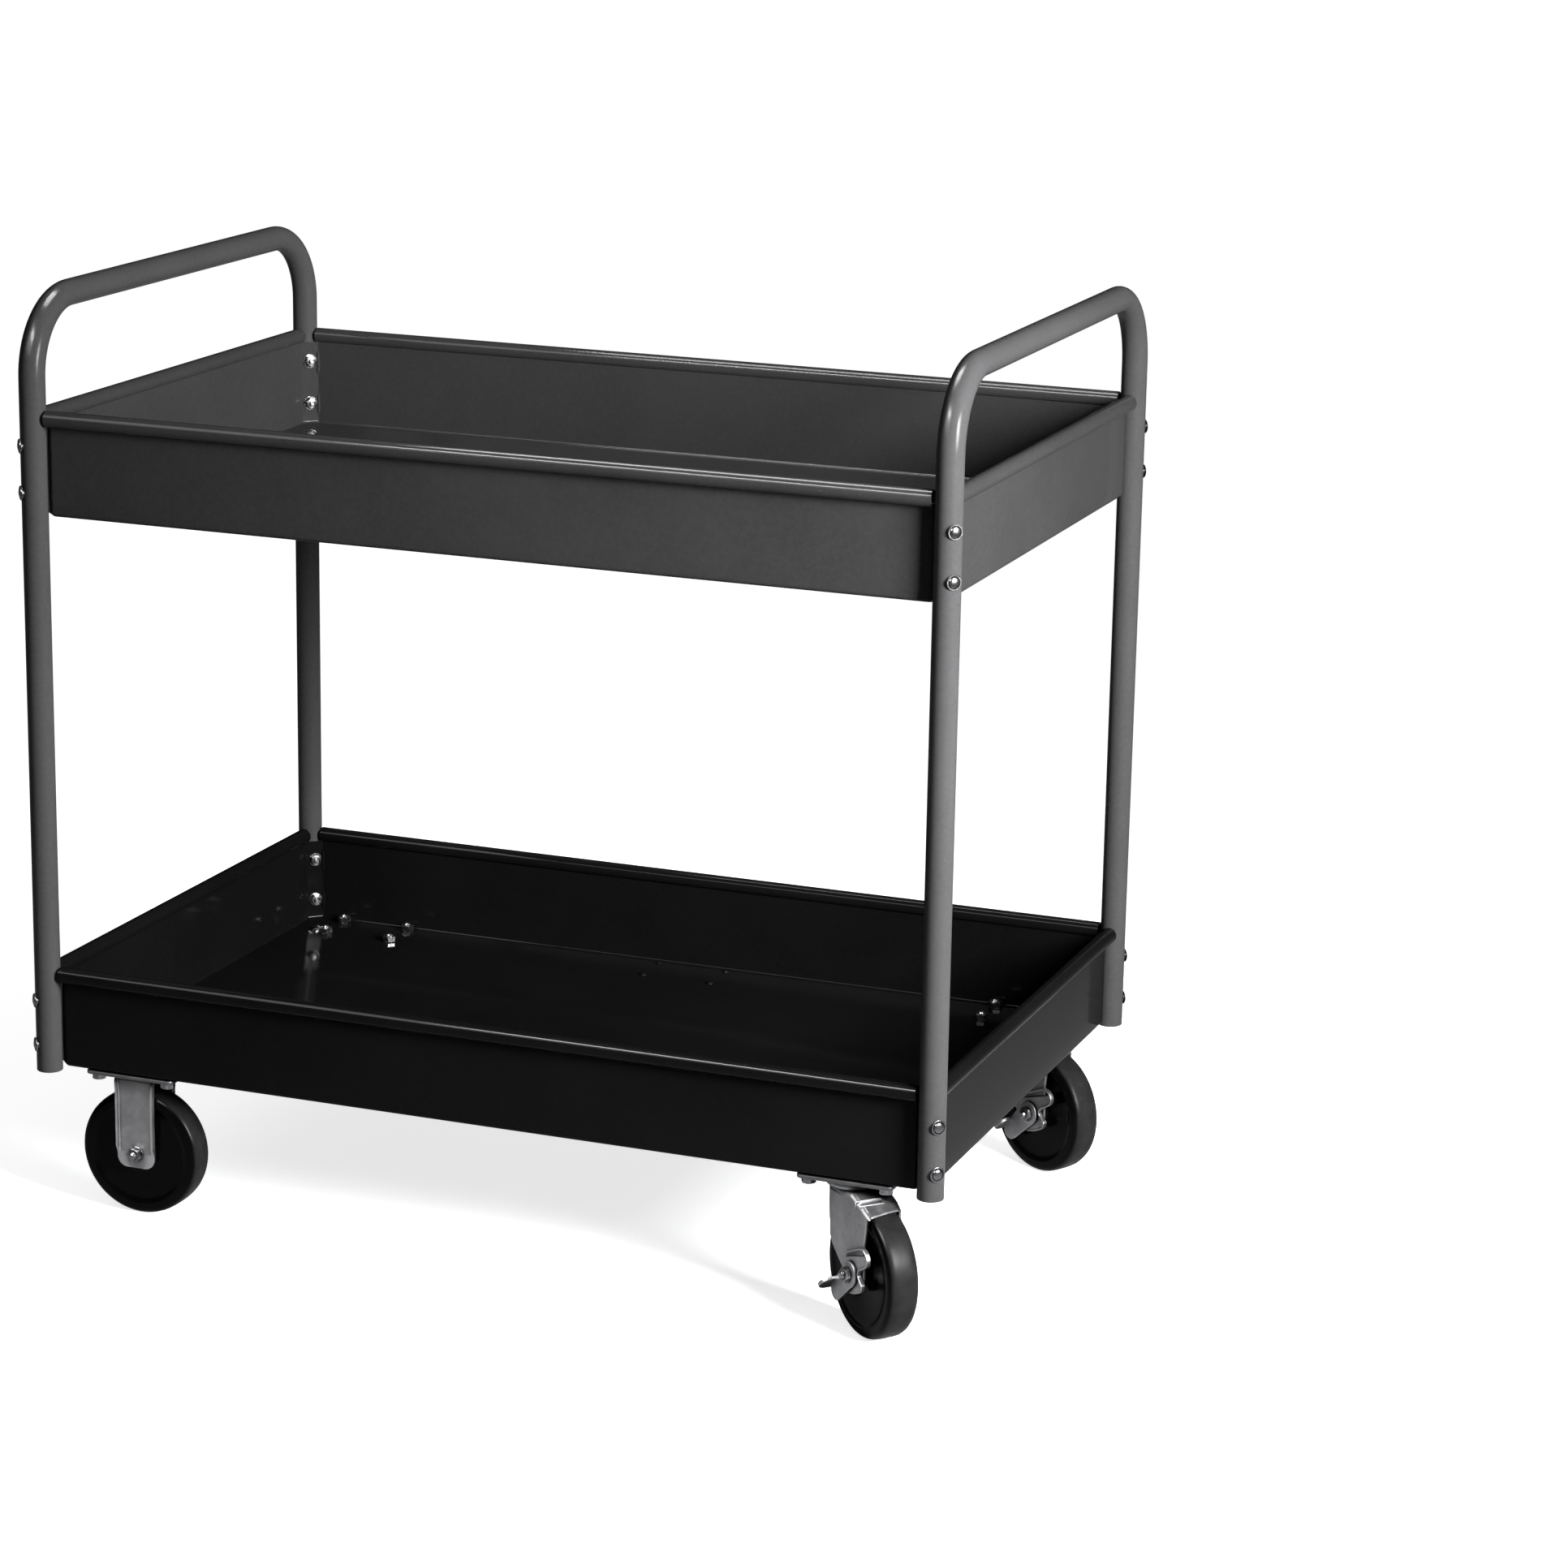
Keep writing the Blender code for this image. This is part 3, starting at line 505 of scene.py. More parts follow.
def make_materials():
    # The enamels are copies of one paint: the lower tray's copy is much darker, painted shade, and
    # the tubes' copy lighter, painted light.
    return {
        "tray_upper": enamel(
            "tray_enamel_upper", 0.025, 0.032, rough=0.10, peel=0.10, shine=0.06
        ),
        "tray_lower": enamel(
            "tray_enamel_lower_painted_shade", 0.0028, 0.0044, rough=0.08, peel=0.08, shine=0.06
        ),
        "tube": enamel("tube_enamel", 0.040, 0.050, rough=0.22, peel=0.06, shine=0.08),
        "zinc": metal(
            "zinc_plate", 0.27, 0.38, rough_low=0.36, rough_high=0.50, grain=0.30,
            brushed=(1.0, 1.0, 14.0), painted_corner_shade=(0.014, 0.40, 0.80, 1.0),
        ),
        "bright": metal(
            "bright_steel", 0.12, 0.24, rough_low=0.20, rough_high=0.32, grain=0.12,
            brushed=(1.0, 1.0, 9.0), painted_corner_shade=(0.003, 0.55, 0.93, 0.97),
        ),
        "wheel": wheel_black(),
    }


# ---------------------------------------------------------------- end frames


def tube_path():
    """The tube's centre line, foot to foot over the handle: y, z and its heading in degrees."""
    bend_y = LEG_Y - HANDLE_BEND_R
    bend_z = tube_high.z - TUBE_R - HANDLE_BEND_R
    foot = tube_low.z
    stations = [(-LEG_Y, foot + d, 90.0) for d in (0.0004, 0.0010, 0.03, 0.20, 0.40, 0.60)]
    for angle in np.linspace(180, 90, 19):
        y = -bend_y + HANDLE_BEND_R * math.cos(math.radians(angle))
        z = bend_z + HANDLE_BEND_R * math.sin(math.radians(angle))
        stations.append((y, z, angle - 90))
    # The second half runs down, so its headings go on from 0 to -90 degrees.
    return stations + [(-y, z, -angle) for y, z, angle in reversed(stations)]


def frame_bm(x):
    """One bent tube, open for a way at both feet."""
    bm = bmesh.new()
    path = tube_path()
    inner = TUBE_R - TUBE_WALL

    def section(y, z, angle, radius):
        a = math.radians(angle)
        across = Vector((0, -math.sin(a), math.cos(a)))
        middle = Vector((x, MID_Y + y, z))
        # A drawn bend comes out slightly oval.
        squeeze = 1.0 - 0.018 * abs(math.sin(math.radians(2 * angle)))
        points = []
        for i in range(TUBE_SIDES):
            t = 2 * math.pi * i / TUBE_SIDES
            reach = Vector((math.cos(t) * radius, 0, 0))
            points.append(middle + reach + across * (math.sin(t) * radius * squeeze))
        return points

    rings = [ring(bm, section(y, z, angle, TUBE_R)) for y, z, angle in path]
    for lower, upper in zip(rings, rings[1:]):
        bridge(bm, lower, upper)
    lip = [
        (tube_low.z, TUBE_R - 0.0004),
        (tube_low.z, inner + 0.0003),
        (tube_low.z + 0.0004, inner),
        (tube_low.z + 0.060, inner),
    ]
    for outer, (y, _, angle) in ((rings[-1], path[-1]), (rings[0], path[0])):
        bore = [outer] + [ring(bm, section(y, z, angle, r)) for z, r in lip]
        for lower, upper in zip(bore, bore[1:]):
            bridge(bm, lower, upper)
        bm.faces.new(bore[-1])
    return bm


def make_frames(surfaces):
    for end, sx in ENDS.items():
        name = f"end_frame_{end}"
        mesh = mesh_of(name, frame_bm(sx * LEG_X), surfaces["tube"])
        add_piece(name, mesh, Matrix(), "cart", f"frame_{end}")


# ---------------------------------------------------------------- trays


def pan_outline(inset):
    """The pan's plan with rounded folds, moved in from the wall's outer face."""
    half_x = LEG_X - WALL_INSET
    half_y = LEG_Y - WALL_INSET
    reach = (TUBE_R + CORNER_GAP) * math.sqrt(2)
    cut_x = LEG_X - (reach - WALL_INSET)
    cut_y = LEG_Y - (reach - WALL_INSET)
    corners = [
        ((half_x, -cut_y), -22.5), ((half_x, cut_y), 22.5),
        ((cut_x, half_y), 67.5), ((-cut_x, half_y), 112.5),
        ((-half_x, cut_y), 157.5), ((-half_x, -cut_y), 202.5),
        ((-cut_x, -half_y), 247.5), ((cut_x, -half_y), 292.5),
    ]
    points = []
    back = FOLD_R / math.cos(math.radians(22.5))
    for (x, y), facing in corners:
        a = math.radians(facing)
        center = (x - back * math.cos(a), y - back * math.sin(a))
        points += arc(center, FOLD_R - inset, facing - 22.5, facing + 22.5, 5)
    return points


def add_pan(bm, bottom):
    """Floor, walls and corner plates as one folded sheet."""
    top = BEAD_Z - (BEAD_R - SHEET)
    least_r = 0.0002
    levels = [(z, FOLD_R - x) for x, z in arc((0, FOLD_R), FOLD_R - least_r, -90, 0, 6)]
    levels = [(z, max(0.0, inset)) for z, inset in levels]
    levels += [(z, 0.0) for z in (0.02, 0.045, 0.07, top)]
    levels += [(top, SHEET), (0.045, SHEET)]
    levels += [(z, FOLD_R - x) for x, z in arc((0, FOLD_R), FOLD_R - SHEET, 0, -90, 6)]
    sections = []
    for z, inset in levels:
        outline = pan_outline(min(inset, FOLD_R - least_r))
        sections.append([Vector((x, MID_Y + y, bottom + z)) for x, y in outline])
    loft(bm, sections)


def add_rim(bm, middle, along, outward, half):
    """A rolled rim: the wall's sheet curled out, over and back until it almost meets the wall."""
    matrix = Matrix.Translation(middle)
    z = Vector(along)
    x = Vector(outward)
    y = Vector((0, 0, 1))
    section = arc((0, 0), BEAD_R, 222, -117, 40) + arc((0, 0), BEAD_R - SHEET, -117, 222, 40)

    def placed(t, shrink):
        points = []
        for a, b in section:
            r = math.hypot(a, b)
            k = (r - shrink * (1 if r > BEAD_R - SHEET / 2 else -1)) / r
            points.append(matrix @ (x * (a * k) + y * (b * k) + z * t))
        return points

    edge = 0.00035
    stations = [(-half, edge), (-half + edge, 0.0), (half - edge, 0.0), (half, edge)]
    loft(bm, [placed(t, shrink) for t, shrink in stations])


def add_weld(bm, x, y, low, high, seed):
    """A lumpy weld bead up a corner plate's edge."""
    rng = np.random.default_rng(seed)
    count = max(6, int((high - low) / 0.0011))
    phase = rng.uniform(0, 6)
    sections = []
    for i in range(count + 1):
        z = low + (high - low) * i / count
        fade = min(1.0, 4.0 * min(i, count - i) / count + 0.15)
        r = (0.0013 + 0.0006 * abs(math.sin(phase + z * 760)) + rng.uniform(0, 0.00025)) * fade
        shift = rng.uniform(-0.00025, 0.00025)
        sections.append([Vector((x + shift + a, y + shift + b, z)) for a, b in circle(r, 8)])
    loft(bm, sections)


def add_plugs(bm, floor):
    """Button plugs in the spare caster holes at the middle of both long sides."""
    low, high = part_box("swivel_plate_back")
    row = (low.y + high.y) / 2 - MID_Y
    profile = [
        (0.0036, -0.0004), (0.0036, 0.0005), (0.0033, 0.0013),
        (0.0024, 0.0021), (0.0012, 0.0025), (0.0, 0.0026),
    ]
    for sy in SIDES.values():
        for dx in (-1, 1):
            for dy in (-1, 1):
                x = dx * PLATE_BOLTS[0]
                y = MID_Y + sy * row + dy * PLATE_BOLTS[1]
                lathe(bm, profile, 20, Matrix.Translation((x, y, floor)))


def make_trays(surfaces):
    cut = (TUBE_R + CORNER_GAP + SHEET) * math.sqrt(2) - WALL_INSET - SHEET
    wall = LEG_Y - WALL_INSET - SHEET
    for number, (tray, bottom) in enumerate(TRAY_Z.items()):
        bm = bmesh.new()
        add_pan(bm, bottom)
        for sy in SIDES.values():
            middle = (0, MID_Y + sy * LEG_Y, bottom + BEAD_Z)
            add_rim(bm, middle, (1, 0, 0), (0, sy, 0), LEG_X - BEAD_END)
        for sx in ENDS.values():
            middle = (sx * LEG_X, MID_Y, bottom + BEAD_Z)
            add_rim(bm, middle, (0, 1, 0), (sx, 0, 0), LEG_Y - BEAD_END)
        for i, sx in enumerate(ENDS.values()):
            for j, sy in enumerate(SIDES.values()):
                x = sx * (LEG_X - cut)
                y = MID_Y + sy * (wall - 0.0003)
                seed = 10 * number + 2 * i + j
                add_weld(bm, x, y, bottom + 0.010, bottom + 0.034, seed)
                add_weld(bm, x, y, bottom + 0.052, bottom + 0.080, seed + 100)
        if tray == "lower":
            add_plugs(bm, bottom + SHEET)
        node = f"tray_{tray}"
        mesh = mesh_of(f"{node}_pan", bm, surfaces[node])
        add_piece(f"{node}_pan", mesh, Matrix(), "cart", node)


# ---------------------------------------------------------------- bolts


def frame_bolt_bm():
    """Domed head with a flange, washer and nut: z = 0 is on the leg's axis, the head above it."""
    bm = bmesh.new()
    seat = TUBE_R + 0.0001
    lip = 0.0006
    head = [
        (0.0, seat - 0.0012), (0.0056, seat - 0.0012), (0.0056, seat + lip * 0.7),
        (0.0068, seat + lip * 0.7), (FRAME_HEAD_R, seat + lip), (FRAME_HEAD_R, seat + lip + 0.0003),
        (0.0068, seat + lip + 0.0006), (0.0060, seat + lip + 0.0006),
        (0.0057, seat + lip + 0.0001), (0.0053, seat + lip + 0.0001),
    ]
    dome_r = 0.0051
    dome_foot = lip + 0.0004
    for angle in (8, 20, 34, 48, 62, 76, 84):
        a = math.radians(angle)
        rise = dome_foot + (FRAME_HEAD_H - dome_foot) * math.sin(a)
        head.append((dome_r * math.cos(a), seat + rise))
    head.append((0.0, seat + FRAME_HEAD_H))
    lathe(bm, head, 40)
    inner = -(TUBE_R + CORNER_GAP + SHEET)
    nut = inner - FRAME_WASHER_T
    end = nut - FRAME_NUT_H
    add_washer(bm, FRAME_BOLT_R, 0.0073, inner, nut)
    add_hex(bm, FRAME_NUT_FLATS, plain=nut, chamfered=end)
    add_thread(bm, FRAME_BOLT_R, end + 0.0004, end - 0.0019)
    return bm


def caster_bolt_bm():
    """Hex head under the caster plate, washer and nut on the tray: z = 0 is under the tray."""
    bm = bmesh.new()
    head = -(GAP + PLATE_T)
    add_hex(bm, CASTER_FLATS, plain=head - 0.0006, chamfered=head - CASTER_HEAD_H)
    add_washer(bm, CASTER_BOLT_R, 0.0062, head, head - 0.0007)
    nut = SHEET + CASTER_WASHER_T
    end = nut + CASTER_NUT_H
    add_washer(bm, CASTER_BOLT_R, 0.0068, SHEET, nut)
    add_hex(bm, CASTER_FLATS, plain=nut, chamfered=end)
    add_thread(bm, CASTER_BOLT_R, end - 0.0004, end + 0.0020)
    return bm


def turned(degrees):
    return Matrix.Rotation(math.radians(degrees), 4, "Z")


def make_bolts(surfaces):
    """Every bolt, each turned to an angle of its own."""
    frame_bolt = mesh_of("frame_bolt", frame_bolt_bm(), surfaces["bright"])
    caster_bolt = mesh_of("caster_bolt", caster_bolt_bm(), surfaces["bright"])
    turn = 0
    for end, sx in ENDS.items():
        for side, sy in SIDES.items():
            outward = Vector((sx, sy, 0)).normalized()
            for tray, bottom in TRAY_Z.items():
                for level, rise in zip(("low", "high"), BOLT_RISES):
                    turn += 1
                    at = (sx * LEG_X, MID_Y + sy * LEG_Y, bottom + rise)
                    matrix = frame_of(at, outward) @ turned(37 * turn)
                    node = f"frame_bolt_{tray}_{side}_{end}_{level}"
                    add_piece(f"{node}_fine", frame_bolt, matrix, "cart", node)
            for number in range(1, 5):
                turn += 1
                node = f"caster_bolt_{side}_{end}_{number}"
                low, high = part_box(node)
                at = ((low.x + high.x) / 2, (low.y + high.y) / 2, TRAY_Z["lower"])
                matrix = Matrix.Translation(at) @ turned(23 * turn)
                add_piece(f"{node}_fine", caster_bolt, matrix, "cart", node)


# ---------------------------------------------------------------- wheels and axles


def wheel_bm():
    """Moulded wheel about Z: hub, shallow web, raised ring, rounded shoulders, crowned tread."""
    half = [
        (BUSHING_R + 0.0002, 0.0168), (BUSHING_R + 0.0006, 0.0172),
        (0.0150, 0.0172), (0.0164, 0.0166), (0.0176, 0.0148), (0.0195, 0.0140),
        (0.0215, 0.0137), (0.0460, 0.0139), (0.0495, 0.0146), (0.0512, 0.0155),
        (0.0524, 0.0159), (0.0536, 0.0160), (0.0540, 0.0158), (0.0544, 0.0157),
        (0.0548, 0.0158), (0.0562, 0.0158), (0.0580, 0.0155), (0.0596, 0.0149),
        (0.0609, 0.0140), (0.0619, 0.0129), (0.0626, 0.0116), (0.0631, 0.0100),
        (0.0634, 0.0070), (WHEEL_R, 0.0030),
    ]
    bm = bmesh.new()
    lathe(bm, half + [(r, -z) for r, z in reversed(half)], 120, closed=True)
    return bm


def axle_bm(braked):
    """Axle bolt about Z, its nut at the near end, where a brake takes the place of a washer."""
    bm = bmesh.new()
    face = FORK_INNER + FORK_T
    if braked:
        near = face + (BRAKE_STACK + GAP)
    else:
        near = face + AXLE_WASHER_T
        add_washer(bm, AXLE_R, AXLE_WASHER_R, face, near)
    head = -face - AXLE_WASHER_T
    end = near + AXLE_HEAD_H
    add_washer(bm, AXLE_R, AXLE_WASHER_R, -face, head)
    add_hex(bm, AXLE_FLATS, plain=head, chamfered=head - AXLE_HEAD_H)
    add_hex(bm, AXLE_FLATS, plain=near, chamfered=end)
    add_thread(bm, AXLE_R, end - 0.0004, end + 0.0034)
    lathe(bm, [(0.0, -face), (AXLE_R, -face), (AXLE_R, near + 0.001), (0.0, near + 0.001)], 24)
    return bm


def make_wheels(surfaces):
    wheel = mesh_of("wheel", wheel_bm(), surfaces["wheel"], 40)
    for side in SIDES:
        for end in ENDS:
            joint = JOINTS[f"wheel_{side}_{end}_spin"]
            matrix = frame_of(Vector(joint["pos_m"]), -Vector(joint["axis"]))
            node = f"wheel_{side}_{end}"
            add_piece(f"{node}_moulded", wheel, matrix, node, node)
            bm = axle_bm(end == "right")
            bm.transform(matrix @ turned(17))
            node = f"axle_{side}_{end}"
            mesh = mesh_of(f"{node}_bolt", bm, surfaces["bright"])
            body = "cart" if end == "left" else f"fork_{side}"
            add_piece(f"{node}_bolt", mesh, Matrix(), body, node)


# ---------------------------------------------------------------- casters


def rounded_rectangle(half_x, half_y, corner):
    points = []
    for sx, sy, start in ((1, 1, 0), (-1, 1, 90), (-1, -1, 180), (1, -1, 270)):
        center = (sx * (half_x - corner), sy * (half_y - corner))
        points += arc(center, corner, start, start + 90, 6)
    return points


def add_plate(bm):
    outline = rounded_rectangle(*PLATE_HALF, PLATE_CORNER)
    prism(bm, outline, PLATE_TOP - PLATE_T, PLATE_TOP, PLATE_EDGE)


def horn_section(station, half, flange):
    """A channel section across the fork strip: points (x, out) laid at a station of its path."""
    (y, z), (ny, nz) = station
    edge = 0.0014
    inner = min(0.0012, flange)
    right = [(half, FORK_T + flange), (half, edge)]
    for a in (0.5, 1.1):
        right.append((half - edge * (1 - math.cos(a)), edge * (1 - math.sin(a))))
    # Points across the faces keep the edge wear and the painted crease shade, which are reckoned
    # for each point, near the edges.
    right += [(half - edge, 0.0), (half - edge - 0.0012, 0.0), (half * 0.45, 0.0)]
    left = [(-x, h) for x, h in reversed(right)]
    lip = half - FORK_T * 0.8
    back_left = [(-lip, FORK_T + flange), (-lip, FORK_T + inner), (-lip + inner, FORK_T)]
    back_left += [(-lip + inner + 0.0012, FORK_T), (-half * 0.45, FORK_T)]
    back_right = [(x * -1, h) for x, h in reversed(back_left)]
    points = right + left + back_left + back_right
    return [Vector((x, y + ny * h, z + nz * h)) for x, h in points]


def horn_bm():
    """The rigid caster: a top plate, and a flanged strip bent into the fork."""
    bm = bmesh.new()
    add_plate(bm)
    top = PLATE_TOP - PLATE_T
    rises = [0.0, 0.0004, 0.0012, 0.0024, 0.0040, 0.0060, 0.0085, 0.0110, 0.0140, 0.0165]
    rises += [0.0190, 0.0215, 0.030, 0.050, 0.070, 0.080]
    stations = [((-FORK_INNER, LEG_BOTTOM + rise), (-1, 0)) for rise in rises]
    bend_y = -FORK_INNER + BEND_R
    bend_z = top - FORK_T - BEND_R
    for angle in np.linspace(180, 90, 8):
        ny, nz = math.cos(math.radians(angle)), math.sin(math.radians(angle))
        stations.append(((bend_y + BEND_R * ny, bend_z + BEND_R * nz), (ny, nz)))
    stations += [((-y, z), (-ny, nz)) for (y, z), (ny, nz) in reversed(stations)]
    sections = []
    for station in stations:
        z = station[0][1]
        rise = z - LEG_BOTTOM
        inset = 0.0
        if rise < LEG_CORNER:
            inset = LEG_CORNER - math.sqrt(max(0.0, LEG_CORNER**2 - (LEG_CORNER - rise) ** 2))
        flange = 0.0034 * min(1.0, max(0.0, (rise - 0.0150) / 0.0060))
        flange *= min(1.0, max(0.0, (top - 0.004 - z) / 0.004))
        flare = 0.0022 * max(0.0, (z - (top - 0.022)) / 0.022) ** 2
        sections.append(horn_section(station, LEG_HALF - inset * 0.95 + flare, flange))
    loft(bm, sections)
    return bm


def swivel_plate_bm():
    """The swivel caster's plate, with the fixed half of its ball race under it."""
    low = RACE_BOTTOM
    top = PLATE_TOP - PLATE_T + 0.0005
    race = [
        (0.0068, top), (0.0068, low), (0.0262, low), (0.0274, low + 0.0003),
        (0.0283, low + 0.0012), (0.0288, low + 0.0030), (0.0296, low + 0.0045),
        (0.0312, low + 0.0056), (0.0322, low + 0.0062), (0.0322, top),
    ]
    bm = bmesh.new()
    add_plate(bm)
    lathe(bm, race, 72, closed=True)
    return bm


def kingpin_bm():
    low = RACE_BOTTOM - GAP - 0.0030 - GAP
    top = PLATE_TOP - GAP
    profile = [
        (0.0, low - 0.0045), (0.0040, low - 0.0044), (0.0072, low - 0.0036),
        (0.0092, low - 0.0022), (0.0100, low - 0.0006), (0.0100, low),
        (0.0062, low), (0.0062, top), (0.0, top),
    ]
    bm = bmesh.new()
    lathe(bm, profile, 40)
    return bm


def leg_outline():
    """A swivel leg in (u, z), where u runs from the kingpin to the axle."""
    foot = arc((TRAIL, WHEEL_R), 0.0190, 200, 358, 14)
    trailing = [(0.0575, 0.0960), (0.0612, 0.1245), (0.0600, 0.1275), (0.0280, 0.1350)]
    leading = [
        (-0.0165, 0.1350), (-0.0165, 0.1140), (-0.0150, 0.1020),
        (-0.0100, 0.0900), (-0.0030, 0.0780),
    ]
    return foot + trailing + leading


def side_prism(bm, outline, low, high):
    """A prism of an outline in (u, z) between two values of y."""
    loft(bm, [[Vector((u, y, z)) for u, z in outline] for y in (low, high)])


def crown_top(u):
    """Height of the crown's top at a trail of u."""
    return RACE_BOTTOM - GAP - max(0.0, u - CROWN_FLAT) * CROWN_SLOPE


def shape_yoke(bm):
    """Presses the yoke into shape: its bends, edges, lip, slot and tool marks, in that order."""
    outer = FORK_INNER + FORK_T
    for v in bm.verts:
        u, y, z = v.co
        out = abs(y)
        # The shoulders' bends.
        over_y = out - (outer - BEND_R)
        over_z = z - (crown_top(u) - BEND_R)
        reach = math.hypot(over_y, over_z)
        if over_y > 0 and over_z > 0 and reach > BEND_R:
            out = outer - BEND_R + over_y * BEND_R / reach
            z = crown_top(u) - BEND_R + over_z * BEND_R / reach
        # The leading edges turn in, and the legs lean out a little behind them.
        if u < -0.0080 and z < 0.1350:
            out -= (-0.0080 - u) * 0.24
        elif out > FORK_INNER * 0.9 and z < 0.131:
            out += 0.05 * max(0.0, 0.0150 - u)
        # The lip over the wheel is cut at a slant.
        if u > 0.0450 and z > 0.1080:
            across = min(1.0, max(0.0, (y + outer) / (2 * outer)))
            share = min(1.0, (z - 0.1080) / 0.008) * across
            u -= (u - 0.0450) * 0.55 * share
        # The slot in the crown.
        on_top = z > crown_top(u) - 0.0009
        if on_top and 0.0412 < u < 0.0462 and -outer + 0.002 < y < 0.0050:
            z -= 0.0017
        # Three tool marks on the near leg.
        if out > outer - 0.0012 and y < 0:
            for mark_u, mark_z in ((0.0270, 0.1170), (0.0385, 0.1190), (0.0465, 0.1130)):
                if math.hypot(u - mark_u, z - mark_z) < 0.0015:
                    out -= 0.0009
        v.co = (u, math.copysign(out, y), z)


def add_block(bm, center, size, tilt=0.0):
    """A small block with eased edges, tilted about Y."""
    bevel = 0.0003
    half_x, half_y, half_z = (v / 2 for v in size)
    outline = rounded_rectangle(half_x, half_y, bevel * 1.5)
    matrix = Matrix.Translation(center) @ Matrix.Rotation(tilt, 4, "Y")
    prism(bm, outline, -half_z, half_z, bevel, matrix)


def yoke_bm():
    """The swivel fork: a pressed crown with a raceway, a sloping lip and two tapering legs."""
    outer = FORK_INNER + FORK_T
    bm = bmesh.new()
    top = RACE_BOTTOM - GAP
    for low, high in ((-outer, -FORK_INNER), (FORK_INNER, outer)):
        side_prism(bm, leg_outline(), low, high)
    crown = [
        (-0.0150, top - 0.0030), (CROWN_FLAT, top - 0.0030), (0.0560, 0.1255),
        (0.0635, 0.1232), (0.0650, 0.1237), (0.0655, 0.1250), (0.0640, 0.1262),
        (0.0560, 0.1287), (0.0290, top), (-0.0150, top),
    ]
    side_prism(bm, crown, -outer, outer)
    cup = [
        (0.0072, top - 0.0028), (0.0072, top), (0.0280, top), (0.0292, top - 0.0005),
        (0.0296, top - 0.0016), (0.0290, top - 0.0034), (0.0270, top - 0.0050),
        (0.0230, top - 0.0054), (0.0205, top - 0.0028),
    ]
    lathe(bm, cup, 64, closed=True)
    # The raceway's cup is wider than the crown, so it is cut off flush with the legs.
    for v in bm.verts:
        v.co.y = max(-outer, min(outer, v.co.y))
    out = fused(bm, 0.00062, 2)
    shape_yoke(out)
    slope = math.atan(CROWN_SLOPE)
    for u in (0.0400, 0.0473):
        middle = (u, -0.0075, crown_top(u) + 0.0001)
        add_block(out, middle, (0.0013, 0.0255, 0.0016), slope)
    add_block(out, (0.0400, -outer - 0.0001, 0.1292), (0.0013, 0.0014, 0.0076))
    return out


def housing_bm():
    """The brake's bracket about the axle: a floor, a hooked rim and a lower curl, z outwards."""
    face = FORK_INNER + FORK_T + 0.0001
    hook = curve([
        (-0.0150, 0.0160), (0.0020, 0.0240), (0.0185, 0.0310), (0.0275, 0.0310),
        (0.0332, 0.0250), (0.0322, 0.0178), (0.0245, 0.0125), (0.0178, 0.0085),
        (0.0165, 0.0035), (0.0205, -0.0008), (0.0240, -0.0045), (0.0215, -0.0105),
        (0.0120, -0.0160), (0.0000, -0.0200), (-0.0090, -0.0200), (-0.0130, -0.0150),
    ], 5)
    bm = bmesh.new()
    floor = [(x, min(y, 0.0170 + 0.34 * x)) for x, y in hook]
    floor += [(-0.0140, -0.0060), (-0.0150, 0.0090)]
    loft(bm, [upright(reversed(floor), face), upright(reversed(floor), face + HOUSING_T)])
    width = 0.0018
    last = len(hook) - 1
    for i in range(last):
        a, b = Vector(hook[i]), Vector(hook[i + 1])
        along = (b - a).normalized()
        side = Vector((along.y, -along.x)) * width
        lap = along * 0.0004
        # The lever sweeps over the lower curl, so the rim sinks almost to the floor there.
        depth = HOUSING_RIM - 0.0026 * min(1.0, max(0.0, (i / last - 0.68) / 0.10))
        corners = (a - lap, b + lap, b + lap + side, a - lap + side)
        loft(bm, [upright(corners, face), upright(corners, face + depth)])
    return fused(bm, 0.00042, 3)


def lever_bm():
    """The brake's lever: a stamped arm round the axle and a rounded thumb tab turned outwards."""
    start = FORK_INNER + FORK_T + 0.0020 + 2 * GAP + 0.0001
    face = start + LEVER_T
    angle = math.radians(LEVER_ANGLE)
    tip = Vector((math.cos(angle), math.sin(angle))) * LEVER_REACH
    arm = arc((0, 0), 0.0122, LEVER_ANGLE - 270, LEVER_ANGLE - 90, 20)
    arm += arc((tip.x, tip.y), TAB_R, LEVER_ANGLE - 90, LEVER_ANGLE + 90, 14)
    bm = bmesh.new()
    loft(bm, [upright(arm, start), upright(arm, face)])
    turn = Matrix.Translation((tip.x, tip.y, 0)) @ turned(LEVER_ANGLE)
    tab = [(-TAB_R, start + 0.0002), (TAB_R, start + 0.0002)]
    tab += arc((0, start + 0.0165 - TAB_R), TAB_R, 0, 180, 14)
    loft(bm, [[turn @ Vector((x, -TAB_R + y, z)) for x, z in tab] for y in (-0.0019, 0.0016)])
    collar = arc((0, 0), 0.0098, 0, 345, 23)
    loft(bm, [upright(collar, start + LEVER_T * 0.5), upright(collar, face + 0.0006)])
    return fused(bm, 0.00045, 4)


